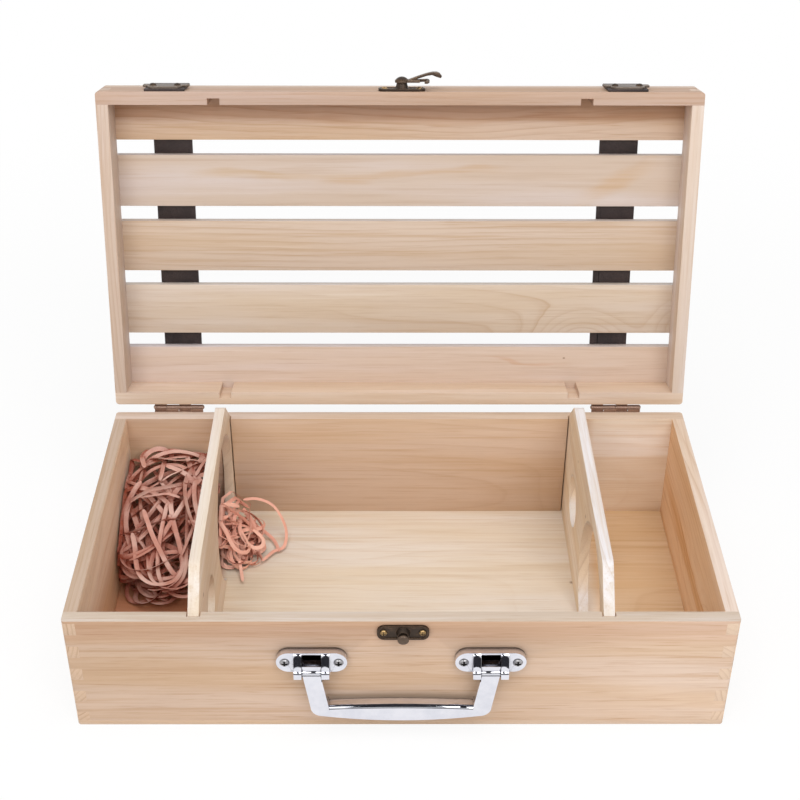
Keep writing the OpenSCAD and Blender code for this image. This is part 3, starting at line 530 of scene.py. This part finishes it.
def wooden_lid():
    board("lid_front_rail", (191, 164, 145), **FRONT_BOARD, turn=LID, seed=8.0, pith=(30, 120), ring=3.2,
          lines=0.25, edges=(1.02, 1.02, 1.04))
    board("lid_back_rail", (218, 197, 179), **FRONT_BOARD, turn=LID, seed=9.0, pith=(40, 110), ring=3.2,
          lines=0.3, edges=(0.98, 0.98, 0.98))
    board("lid_left_rail", (207, 190, 178), **SIDE_BOARD, turn=LID, seed=10.0, pith=(50, 60), ring=1.6,
          lines=0.9, edges=(1.0, 0.98, 0.98))
    board("lid_right_rail", (221, 204, 191), **SIDE_BOARD, turn=LID, seed=11.0, pith=(20, 90), ring=4.0,
          lines=0.25, edges=(0.98, 1.0, 1.04))
    # Painted shadow of the lid's front rail: the half of the slat's lower face next to it darker and redder
    board("slat_1", (217, 190, 166), SLAT_EDGE, turn=LID, seed=12.0, pith=(-50, 90), ring=2.2, lines=0.6,
          dashes=0.6, veins=(((-60, 2), (150, 4), 3.0, (0.92, 0.84, 0.76)),),
          washes=((ACROSS, 6.5, 1.5, (0.76, 0.64, 0.57)),), side=-1)
    board("slat_2", (210, 194, 183), SLAT_EDGE, turn=LID, seed=13.0, pith=(-20, 40), tilt=0.02, ring=9.0,
          lines=0.18, dashes=0.2, swells=((178, -3, 16, 10),),
          veins=(((-118, -1), (-30, 2), 3.2, (0.95, 0.88, 0.76)),
                 ((-40, 3), (60, -6), 3.2, (0.96, 0.88, 0.77)),
                 ((112, 9), (146, -9), 7.0, (0.97, 0.88, 0.76))))
    board("slat_3", (204, 182, 161), SLAT_EDGE, turn=LID, seed=14.0, pith=(60, 26), tilt=0.012, ring=3.4,
          lines=0.5)
    board("slat_4", (209, 192, 175), SLAT_EDGE, turn=LID, seed=15.0, pith=(14, 60), tilt=0.02, ring=3.1,
          lines=0.46, swells=((113, 20, 17, 22), (182, 12, 15, 18)))
    board("slat_5", (212, 193, 181), SLAT_EDGE, turn=LID, seed=16.0, pith=(-40, 70), tilt=0.015, ring=5.0,
          lines=0.24, knots=((103, -8, 0.6),), veins=(((60, -10), (100, -6), 1.2, (0.95, 0.85, 0.78)),))


# Metal and leather. Noises are in waves per metre, and roundings of edges in millimetres.

BRONZE_DIRT = srgb(30, 26, 22)
RUBBED_BRONZE = srgb(156, 124, 96)
CHROME = (srgb(233, 233, 240), srgb(222, 223, 232))
# Painted shade in the chrome's pockets
CHROME_POCKET_SHADE = srgb(52, 49, 56)
# Painted shade in the screws' recesses: the crosses of the handle's screws, and all hollows of the screw
# heads
PAINTED_CROSS_SHADE = srgb(24, 21, 22)
PAINTED_SCREW_SHADE = srgb(34, 30, 30)
LEATHER = (srgb(72, 58, 56), srgb(50, 41, 41))
# Painted shade in the leather's creases
LEATHER_CREASE_SHADE = srgb(30, 24, 24)

PLATE_EDGE = 0.15
HINGE_EDGE = 0.12
SCREW_EDGE = 0.08
BRACKET_EDGE = 0.2
PIN_EDGE = 0.1
BAIL_EDGE = 0.35
STRAP_EDGE = 0.3

# Where the handle's screws are, in millimetres: half the handle's span, a screw's distance from its bracket's
# middle, and the height
HANDLE_SCREWS = (46.7, 14.1, 50.4)

# Where the arms of the painted shade in their recesses fade out, in millimetres: across an arm, and along it
RECESS_WIDTH = (0.62, 0.4)
RECESS_REACH = (1.8, 1.5)


def bronze(name, dark, worn_and_highlight=RUBBED_BRONZE, wear_and_highlight=0.8):
    """Antiqued bronze: dark in the hollows, rubbed bright along the edges, which on the hinges is also a
    painted highlight.
    """
    g = Graph(name)
    place = g.place()
    speck = g.noise(place, 900, detail=4.0, roughness=0.65)
    cloud = g.noise(place, 220)
    bevel = g.node("ShaderNodeBevel", samples=6)
    bevel.inputs["Radius"].default_value = 0.5 * MM
    normal = g.node("ShaderNodeNewGeometry").outputs["Normal"]
    bent = g.vector("DOT_PRODUCT", bevel.outputs[0], normal).outputs["Value"]
    edge = g.steps(bent, 0.995, 0.86)
    rubbed_and_highlight = g.math("MULTIPLY", g.math("ADD", edge, g.steps(cloud, 0.55, 0.8, 0.0, 0.35)), wear_and_highlight, clamp=True)
    rubbed_and_highlight = g.math("MULTIPLY", rubbed_and_highlight, g.steps(speck, 0.35, 0.6, 0.35, 1.0))
    colour = g.mix(g.steps(speck, 0.5, 0.8, 0.0, 0.35), g.mix(rubbed_and_highlight, dark, worn_and_highlight), BRONZE_DIRT)
    g.bump(speck, 0.05 * MM, strength=0.35)
    return g.finished(colour, g.steps(speck, 0.3, 0.7, 0.34, 0.52), metallic=0.85)


def chrome(name):
    """Polished chrome with faint ripples and fine scratches, and painted shade down in its pockets."""
    g = Graph(name)
    place = g.place()
    haze = g.noise(place, 120, detail=4.0)
    scratch = g.noise(place, (90, 2600, 1400), roughness=0.7)
    unshaded = g.mix(g.steps(haze, 0.3, 0.7), *CHROME)
    # Painted shade: the colour goes dark in the pockets, where little is open round the surface
    colour = g.mix(g.shelter(7 * MM, 0.4, 0.72), unshaded, CHROME_POCKET_SHADE)
    g.bump(g.math("MULTIPLY_ADD", scratch, 0.12, haze), 0.05 * MM, strength=0.25)
    return g.finished(colour, g.steps(haze, 0.35, 0.75, 0.03, 0.07), metallic=1.0)


def screw_metal(name, bright, dull, crosses=None):
    """Screws gone dull, with painted shade in their recesses. Crosses tells where the handle's screws are,
    whose cross recesses are painted dark as shade."""
    g = Graph(name)
    place = g.place()
    tarnish = g.noise(place, 700, detail=4.0, roughness=0.6)
    colour = g.mix(g.steps(tarnish, 0.35, 0.65), bright, dull)
    if crosses:
        half_span, beside, height = crosses
        x, _, z = g.split(g.scaled(place, (1 / MM, 1 / MM, 1 / MM)))
        dx = g.math("ABSOLUTE", x)
        dx = g.math("ABSOLUTE", g.math("SUBTRACT", dx, half_span))
        dx = g.math("ABSOLUTE", g.math("SUBTRACT", dx, beside))
        dz = g.math("ABSOLUTE", g.math("SUBTRACT", z, height))
        arm = g.steps(g.math("MINIMUM", dx, dz), *RECESS_WIDTH)
        reach = g.steps(g.math("MAXIMUM", dx, dz), *RECESS_REACH)
        # Painted shade in the cross recesses of the handle's screws
        colour = g.mix(g.math("MULTIPLY", arm, reach), colour, PAINTED_CROSS_SHADE)
    # Painted shade in the screw heads' hollows
    colour = g.mix(g.shelter(1.2 * MM, 0.55, 0.95), colour, PAINTED_SCREW_SHADE)
    g.bump(tarnish, 0.03 * MM, strength=0.3)
    return g.finished(colour, g.steps(tarnish, 0.3, 0.7, 0.24, 0.42), metallic=0.9)


def leather(name):
    """Dark leather with fine pebbled grain, and painted shade in the creases between the pebbles."""
    g = Graph(name)
    place = g.place()
    wobble = g.noise(place, 400, detail=2.0, output="Color")
    pebble = g.cracks(g.vector("ADD", g.scaled(place, (1500, 1500, 1500)), wobble).outputs[0])
    cloud = g.noise(place, 60, detail=4.0)
    tone = g.mix(g.steps(cloud, 0.35, 0.7), *LEATHER)
    # Painted shade in the creases between the pebbles
    colour = g.mix(g.steps(pebble, 0.0, 0.16, 0.7, 0.0), tone, LEATHER_CREASE_SHADE)
    g.bump(g.steps(pebble, 0.0, 0.25), 0.12 * MM, strength=0.6)
    return g.finished(colour, g.steps(cloud, 0.3, 0.7, 0.42, 0.6), specular=0.45)


def hardware():
    plate = bronze("antique_bronze", srgb(69, 58, 50))
    stud = bronze("stud_bronze", srgb(104, 88, 76))
    hook = bronze("hook_bronze", srgb(94, 78, 66), worn_and_highlight=srgb(180, 148, 116))
    strap_end = bronze("strap_end_bronze", srgb(112, 100, 91), worn_and_highlight=srgb(190, 170, 148))
    # The hinges' bright edges are wear and a painted highlight
    hinge = bronze("hinge_bronze", srgb(158, 130, 115), worn_and_highlight=srgb(222, 192, 170), wear_and_highlight=1.0)
    brass = screw_metal("dull_brass", srgb(196, 162, 112), srgb(140, 112, 76))
    nickel = screw_metal("dull_nickel", srgb(190, 188, 190), srgb(140, 138, 140), crosses=HANDLE_SCREWS)
    plated = chrome("polished_chrome")
    hide = leather("dark_leather")
    finishes = (
        (plate, PLATE_EDGE, "catch_plate", "latch_plate", "latch_pivot"),
        (plate, 0.0, "strap_nails"),
        (stud, PLATE_EDGE, "catch_stud"),
        (hook, PLATE_EDGE, "latch_hook"),
        (strap_end, PLATE_EDGE, "left_strap_end", "right_strap_end"),
        (hinge, HINGE_EDGE, "left_hinge_case_leaf", "left_hinge_lid_leaf"),
        (hinge, HINGE_EDGE, "right_hinge_case_leaf", "right_hinge_lid_leaf"),
        (hinge, 0.0, "left_hinge_pin", "right_hinge_pin"),
        (brass, SCREW_EDGE, "catch_screws", "latch_screws", "hinge_case_screws", "hinge_lid_screws"),
        (nickel, SCREW_EDGE, "handle_screws"),
        (plated, BRACKET_EDGE, "left_handle_bracket", "right_handle_bracket"),
        (plated, PIN_EDGE, "left_handle_pin", "right_handle_pin"),
        (plated, BAIL_EDGE, "handle_bail"),
        (hide, STRAP_EDGE, "left_strap", "right_strap"),
    )
    for material, rounding, *names in finishes:
        for name in names:
            dress(name, material, rounding)


# Paper shred

# Painted shade between strips, reddened as by light through and off the paper: what it leaves of their colour
RED_GAP_SHADE = (0.46, 0.18, 0.115)

# Strips of the nest, and the first of those that sweep over its top
NEST_STRIPS = 96
NEST_TOP = 60
SPILL_STRIPS = 34

# Distance between a strip's points, laid freely or along a route
STRAND_STEP = 2.4 * MM
SPILL_STEP = 2.0 * MM

# From point to point a strip keeps this share of its bend and gains some at random, in shares of its tightest
# bend. It rises and falls by a wave that turns by so many radians.
BEND_KEPT = 0.94
BEND_CHANGE = 0.16
WAVE_TURN = 0.17

# Strips are drawn back inwards from this share of the way to the heap's edge, fully so a little farther out
TURNS_FROM = 0.72
TURNS_WITHIN = 0.25

# A strip's trough and tips as shares of its width, and how fast it settles level
TROUGH = 0.12
TIP = 0.5
SETTLING = 0.07

# Routes in millimetres of strips that lie at the nest's back, and of loose ones in the spill
NEST_ROUTES = (
    [(-139, 80, 48), (-144, 84, 53), (-150, 84, 55), (-156, 80, 54), (-159, 74, 50), (-155, 66, 47)],
    [(-164, 68, 44), (-154, 78, 51), (-142, 82, 54), (-130, 81, 54), (-117, 78, 50)],
    [(-160, 82, 47), (-149, 77, 53), (-137, 72, 55), (-124, 74, 53), (-115, 66, 48)],
    [(-152, 84, 44), (-146, 80, 50), (-134, 80, 52), (-121, 84, 50), (-114, 80, 44)],
    [(-165, 40, 36), (-162, 54, 44), (-154, 66, 50), (-142, 70, 53), (-130, 64, 54), (-122, 50, 50)],
)
SPILL_ROUTES = (
    [(-97, 66, 29), (-89, 67, 29), (-81, 66.5, 26), (-76, 65, 21), (-71.5, 61, 13), (-70.5, 56, 7.5),
     (-72, 48, 5.5), (-78, 44, 5.5), (-84, 35, 5.5)],
    [(-106, 60, 26), (-102.5, 52, 21), (-99, 38, 13), (-96.5, 26, 8), (-94.5, 16, 5.5)],
    [(-100, 60, 20), (-92, 62, 13), (-84, 60, 8), (-78, 54, 6), (-74, 44, 5.5)],
    [(-104, 34, 16), (-98, 38, 10), (-91, 40, 7), (-86, 45, 6)],
)


def paper(name, light, dark, low, high):
    """Thin pinkish tissue with faint fibres. Between the strips the paper is painted dark red, as shade with
    red light coming through and off other strips, where the open share round it is from high down to low."""
    g = Graph(name)
    place = g.place()
    fibre = g.noise(place, 600, detail=4.0, roughness=0.6)
    cloud = g.noise(place, 55, detail=2.0)
    tone = g.mix(g.steps(cloud, 0.35, 0.65), light, dark)
    # Painted shade, reddened as by light through the paper, where the strips shelter each other
    tone = g.mix(g.shelter(14 * MM, low, high), tone, g.scaled(tone, RED_GAP_SHADE))
    colour = g.mix(g.steps(fibre, 0.45, 0.75, 0.0, 0.2), tone, light)
    g.bump(fibre, 0.05 * MM, strength=0.4)
    return g.finished(colour, g.steps(fibre, 0.3, 0.7, 0.6, 0.78), specular=0.25)


class Heap:
    """The room that the shred fills in a CAD node's box: seen from above an ellipse with full corners, under
    a roof. Crest gives the roof's share of the box's height from shares of its width and depth, and drop is
    the share that it loses towards the ellipse's edge. Reach is the ellipse's share of the box, and shift its
    place."""

    # What the strips' centre lines keep clear of the box's sides
    MARGIN = 1.8 * MM

    def __init__(self, node, crest, drop, reach, shift):
        self.low, self.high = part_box(node)
        self.crest = crest
        self.drop = drop
        half = (self.high - self.low) / 2
        self.half = Vector((half.x * reach[0], half.y * reach[1], half.z))
        self.middle = (self.low + self.high) / 2 + Vector((half.x * shift[0], half.y * shift[1], 0))

    def spot(self, across, along):
        """A place by its shares of the heap's half width and half depth."""
        return self.middle.x + across * self.half.x, self.middle.y + along * self.half.y

    def out(self, p):
        """0 in the middle, 1 at the edge."""
        dx = abs(p.x - self.middle.x) / self.half.x
        dy = abs(p.y - self.middle.y) / self.half.y
        return (dx ** 3 + dy ** 3) ** (1 / 3)

    def level(self, p, depth):
        """Height of a layer at a place: depth 0 is the floor and 1 the top of the heap."""
        fx = min(max((p.x - self.low.x) / (self.high.x - self.low.x), 0.0), 1.0)
        fy = min(max((p.y - self.low.y) / (self.high.y - self.low.y), 0.0), 1.0)
        edge = 1.0 - self.drop * min(self.out(p), 1.0) ** 4
        room = self.high.z - self.low.z - 2 * self.MARGIN
        return self.low.z + self.MARGIN + room * depth * edge * self.crest(fx, fy)

    def held(self, p):
        """The place itself, or the nearest one inside the heap's box."""
        corners = zip(p, self.low, self.high)
        return Vector(tuple(min(max(c, low + self.MARGIN), high - self.MARGIN) for c, low, high in corners))


def strand(rng, heap, start, heading, length, depth, tightest):
    """Points of one springy strip: its bend changes slowly, and near the heap's edge it turns back."""
    bend = rng.uniform(-0.5, 0.5) / tightest
    sway = rng.uniform(0, 2 * math.pi)
    lift = rng.uniform(1.5, 5.0) * MM
    place = Vector((start[0], start[1], 0))
    points = []
    for i in range(int(length / STRAND_STEP)):
        wave = math.sin(sway + i * WAVE_TURN) * lift
        points.append(heap.held(Vector((place.x, place.y, heap.level(place, depth) + wave - lift))))
        bend = BEND_KEPT * bend + rng.gauss(0, BEND_CHANGE) / tightest
        bend = min(max(bend, -1 / tightest), 1 / tightest)
        home = math.atan2(heap.middle.y - place.y, heap.middle.x - place.x)
        off = (home - heading + math.pi) % (2 * math.pi) - math.pi
        pull = min(max((heap.out(place) - TURNS_FROM) / TURNS_WITHIN, 0.0), 1.0)
        inwards = math.copysign(1 / (0.55 * tightest), off) * min(abs(off), 1.0)
        heading += ((1 - pull) * bend + pull * inwards) * STRAND_STEP
        place += Vector((math.cos(heading), math.sin(heading), 0)) * STRAND_STEP
    return points


def smooth_route(route, step):
    """Points at an even step, in metres, along a smooth curve through a route's places in millimetres."""
    places = [Vector(p) * MM for p in route]
    ends = [places[0] * 2 - places[1], *places, places[-1] * 2 - places[-2]]
    points = []
    for a, b, c, d in zip(ends, ends[1:], ends[2:], ends[3:]):
        count = max(2, round((c - b).length / step))
        for i in range(count):
            t = i / count
            points.append(0.5 * (2 * b + (c - a) * t + (2 * a - 5 * b + 4 * c - d) * t ** 2
                                 + (3 * b - a - 3 * c + d) * t ** 3))
    return [*points, places[-1]]


def ribbon(verts, faces, points, width, twist, turn):
    """Adds a strip along points to verts and faces: slightly troughed, and twisting about its own line."""
    first = len(verts)
    side = Matrix.Rotation(twist, 3, "Y") @ Vector((1, 0.3, 0))
    for i, p in enumerate(points):
        ahead = (points[min(i + 1, len(points) - 1)] - points[max(i - 1, 0)]).normalized()
        level = ahead.cross(Vector((0, 0, 1)))
        side = side - side.dot(ahead) * ahead
        if level.length > 0.1:
            side = side.normalized() + SETTLING * math.copysign(1, side.dot(level)) * level
        side = (Matrix.Rotation(turn, 3, ahead) @ side).normalized()
        trough = side.cross(ahead) * width * TROUGH
        narrow = TIP if i in (0, len(points) - 1) else 1.0
        verts += [p - side * width * 0.5 * narrow, p - trough, p + side * width * 0.5 * narrow]
    for i in range(len(points) - 1):
        a = first + 3 * i
        faces += [(a, a + 1, a + 4, a + 3), (a + 1, a + 2, a + 5, a + 4)]


def shred(name, node, strips, tissue):
    """One mesh of strips, each (points, width, twist, turn), which stands for the CAD heap."""
    verts = []
    faces = []
    for points, width, twist, turn in strips:
        ribbon(verts, faces, points, width, twist, turn)
    mesh = bpy.data.meshes.new(name)
    mesh.from_pydata([tuple(v) for v in verts], [], faces)
    for polygon in mesh.polygons:
        polygon.use_smooth = True
    mesh.materials.append(tissue)
    piece = bpy.data.objects.new(name, mesh)
    bpy.context.scene.collection.objects.link(piece)
    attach(piece, "case")
    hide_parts(node)


def nest_crest(fx, fy):
    """The nest rises from the box's front to its back, and is a little lower at its sides."""
    return min(1.1, 0.3 + 1.25 * fy) * (1.0 - 0.1 * abs(2 * fx - 1))


def nest_strips():
    """The nest in the left compartment: tangled short strips below, long sweeping ones on top."""
    rng = random.Random(11)
    heap = Heap("shred_nest", nest_crest, 0.05, reach=(1.04, 0.84), shift=(0.0, 0.17))
    strips = []
    for i in range(NEST_STRIPS):
        on_top = i >= NEST_TOP
        spot = heap.spot(rng.uniform(-0.8, 0.8), rng.uniform(-0.8, 0.8))
        heading = rng.choice((-1, 1)) * math.pi / 2 + rng.gauss(0, 0.45 if on_top else 1.2)
        depth = rng.uniform(0.84, 1.0) if on_top else rng.uniform(0.1, 0.84)
        length = rng.uniform(60, 130) * MM
        points = strand(rng, heap, spot, heading, length, depth, (24 if on_top else 15) * MM)
        strips.append((points, rng.uniform(2.3, 3.0) * MM, rng.uniform(-0.9, 0.9), rng.uniform(-0.05, 0.05)))
    for route in NEST_ROUTES:
        points = smooth_route(route, STRAND_STEP)
        strips.append((points, 2.8 * MM, rng.uniform(-0.4, 0.4), rng.uniform(-0.04, 0.04)))
    return strips


def spill_crest(fx, fy):
    """The spill is highest against the divider, towards the box's back."""
    return max(0.1, (1.25 - 1.3 * fx) * (0.3 + 0.8 * fy))


def spill_strips():
    """The spill through the divider's arch: a clump by the divider, and a few loose strips on the floor."""
    rng = random.Random(23)
    heap = Heap("shred_spill", spill_crest, 0.1, reach=(0.5, 0.8), shift=(-0.52, 0.28))
    strips = []
    for _ in range(SPILL_STRIPS):
        spot = heap.spot(rng.uniform(-0.8, 0.4), rng.uniform(-0.8, 0.8))
        heading = rng.uniform(0, 2 * math.pi)
        length = rng.uniform(35, 80) * MM
        points = strand(rng, heap, spot, heading, length, rng.uniform(0.15, 1.0), 10 * MM)
        strips.append((points, rng.uniform(2.2, 2.8) * MM, rng.uniform(-0.9, 0.9), rng.uniform(-0.06, 0.06)))
    for route in SPILL_ROUTES:
        strips.append((smooth_route(route, SPILL_STEP), 2.0 * MM, rng.uniform(-0.5, 0.5), 0.02))
    return strips


def paper_shred():
    nest_paper = paper("nest_paper", srgb(224, 188, 175), srgb(200, 143, 127), 0.38, 1.0)
    shred("paper_nest", "shred_nest", nest_strips(), nest_paper)
    # The spill's paper is the nest's, painted lighter and with less painted shade, as it lies in more light
    spill_paper = paper("spill_paper", srgb(246, 194, 173), srgb(232, 170, 149), 0.0, 0.42)
    shred("paper_spill", "shred_spill", spill_strips(), spill_paper)


# Camera, light and floor, in metres and watts

FLOOR_HALF = 6.0
BOX_MIDDLE = (0.0, 0.0, 0.1)
HANDLE_AT = (0.0, -0.1, 0.04)

# Name, place, size and power. All shine at the box's middle.
LAMPS = (
    ("key", (0.5, -1.15, 1.3), (0.8, 0.8), 7.7),
    ("fill", (-0.6, -1.15, 1.2), (0.8, 0.8), 5.8),
    ("top", (0.0, -0.3, 1.9), (1.5, 1.0), 13.4),
)

# Name, place, the place that it faces, and size
FLAGS = (
    ("camera_flag", (0.0, -1.0, 1.0), HANDLE_AT, (0.27, 1.0)),
    ("low_flag", (0.0, -2.0, 0.42), HANDLE_AT, (4.0, 0.5)),
    ("ceiling_flag", (0.0, -0.55, 1.45), (0.0, -0.55, 0.0), (3.0, 1.3)),
)


def camera():
    """The photograph's own view, worked out from the box's corners and edges in it."""
    pitch, yaw, roll = (math.radians(a) for a in (PITCH, YAW, ROLL))
    ahead = Vector((-math.sin(yaw) * math.cos(pitch), math.cos(yaw) * math.cos(pitch), -math.sin(pitch)))
    level = Vector((math.cos(yaw), math.sin(yaw), 0))
    above = level.cross(ahead)
    right = math.cos(roll) * level + math.sin(roll) * above
    up = -math.sin(roll) * level + math.cos(roll) * above
    data = bpy.data.cameras.new("photo_camera")
    data.sensor_fit = "HORIZONTAL"
    data.sensor_width = SENSOR
    data.lens = FOCAL / PICTURE * SENSOR
    data.shift_x = (PICTURE / 2 - MIDDLE[0]) / PICTURE
    data.shift_y = (MIDDLE[1] - PICTURE / 2) / PICTURE
    data.clip_start = 0.01
    eye = bpy.data.objects.new("photo_camera", data)
    turn = Matrix((right, up, -ahead)).transposed().to_4x4()
    eye.matrix_world = Matrix.Translation(CAMERA_AT) @ turn
    bpy.context.scene.collection.objects.link(eye)
    bpy.context.scene.camera = eye


def placed(made, at, aim):
    """Puts a lamp or a card at a place, facing another one."""
    made.location = at
    made.rotation_euler = (Vector(aim) - Vector(at)).to_track_quat("-Z", "Y").to_euler()
    bpy.context.scene.collection.objects.link(made)


def lamp(name, at, size, power):
    data = bpy.data.lights.new(name, "AREA")
    data.shape = "RECTANGLE"
    data.size, data.size_y = size
    data.energy = power
    placed(bpy.data.objects.new(name, data), at, BOX_MIDDLE)


def flag(name, at, aim, size):
    """Black card of the studio, which shows only as a reflection in polished metal."""
    g = Graph(name + "_card")
    card = bpy.data.objects.new(name, rectangle(name, size[0] / 2, size[1] / 2))
    card.data.materials.append(g.finished((0.02, 0.02, 0.026, 1.0), 0.9))
    placed(card, at, aim)
    for ray in ("camera", "diffuse", "transmission", "volume_scatter", "shadow"):
        setattr(card, "visible_" + ray, False)


def rectangle(name, half_w, half_h):
    mesh = bpy.data.meshes.new(name)
    corners = [(-half_w, -half_h, 0), (half_w, -half_h, 0), (half_w, half_h, 0), (-half_w, half_h, 0)]
    mesh.from_pydata(corners, [], [(0, 1, 2, 3)])
    return mesh


def white_to_camera(tree, lit, white, share=None):
    """Shows the white shader in place of the lit one to camera, mirror and glass rays, fully or by a share,
    and returns the mix."""
    path = tree.nodes.new("ShaderNodeLightPath")
    seen = path.outputs["Is Camera Ray"]
    for ray in ("Is Glossy Ray", "Is Transmission Ray"):
        either = tree.nodes.new("ShaderNodeMath")
        either.operation = "MAXIMUM"
        tree.links.new(seen, either.inputs[0])
        tree.links.new(path.outputs[ray], either.inputs[1])
        seen = either.outputs[0]
    if share:
        scaled = tree.nodes.new("ShaderNodeMath")
        scaled.operation = "MULTIPLY"
        tree.links.new(seen, scaled.inputs[0])
        tree.links.new(share, scaled.inputs[1])
        seen = scaled.outputs[0]
    mixed = tree.nodes.new("ShaderNodeMixShader")
    tree.links.new(seen, mixed.inputs[0])
    tree.links.new(lit, mixed.inputs[1])
    tree.links.new(white, mixed.inputs[2])
    return mixed.outputs[0]


def surround():
    """The world: soft light on the object, and plain white to look at."""
    world = bpy.data.worlds.new("studio")
    bpy.context.scene.world = world
    world.use_nodes = True
    tree = world.node_tree
    ambient = tree.nodes["Background"]
    ambient.inputs["Color"].default_value = (1.0, 0.99, 0.98, 1.0)
    ambient.inputs["Strength"].default_value = 0.5
    white = tree.nodes.new("ShaderNodeBackground")
    white.inputs["Color"].default_value = (1.0, 1.0, 1.0, 1.0)
    white.inputs["Strength"].default_value = 1.0
    mixed = white_to_camera(tree, ambient.outputs[0], white.outputs[0])
    tree.links.new(mixed, tree.nodes["World Output"].inputs["Surface"])


def pale_floor():
    """Pale floor that fades to white away from the object, and keeps the object's shadow."""
    g = Graph("pale_floor")
    place = g.place()
    colour = g.mix(g.noise(place, 3, detail=2.0), (0.9, 0.9, 0.9), (0.93, 0.93, 0.93))
    material = g.finished(colour, 0.9, specular=0.0)
    away = g.vector("LENGTH", place).outputs["Value"]
    glow = g.node("ShaderNodeEmission")
    glow.inputs["Strength"].default_value = 1.0
    faded = g.steps(away, 0.3, 0.8, 0.86, 1.0)
    g.link(white_to_camera(g.tree, g.shader.outputs[0], glow.outputs[0], faded), g.surface)
    floor = bpy.data.objects.new("studio_floor", rectangle("studio_floor", FLOOR_HALF, FLOOR_HALF))
    floor.data.materials.append(material)
    bpy.context.scene.collection.objects.link(floor)


def studio():
    """Soft white studio: a pale floor, a white surround, three large lamps, and black cards that give the
    polished metal its dark reflections."""
    surround()
    pale_floor()
    for name, at, size, power in LAMPS:
        lamp(name, at, size, power)
    for name, at, aim, size in FLAGS:
        flag(name, at, aim, size)


bpy.context.scene.view_settings.view_transform = "Standard"

camera()
studio()
wooden_case()
wooden_lid()
hardware()
paper_shred()
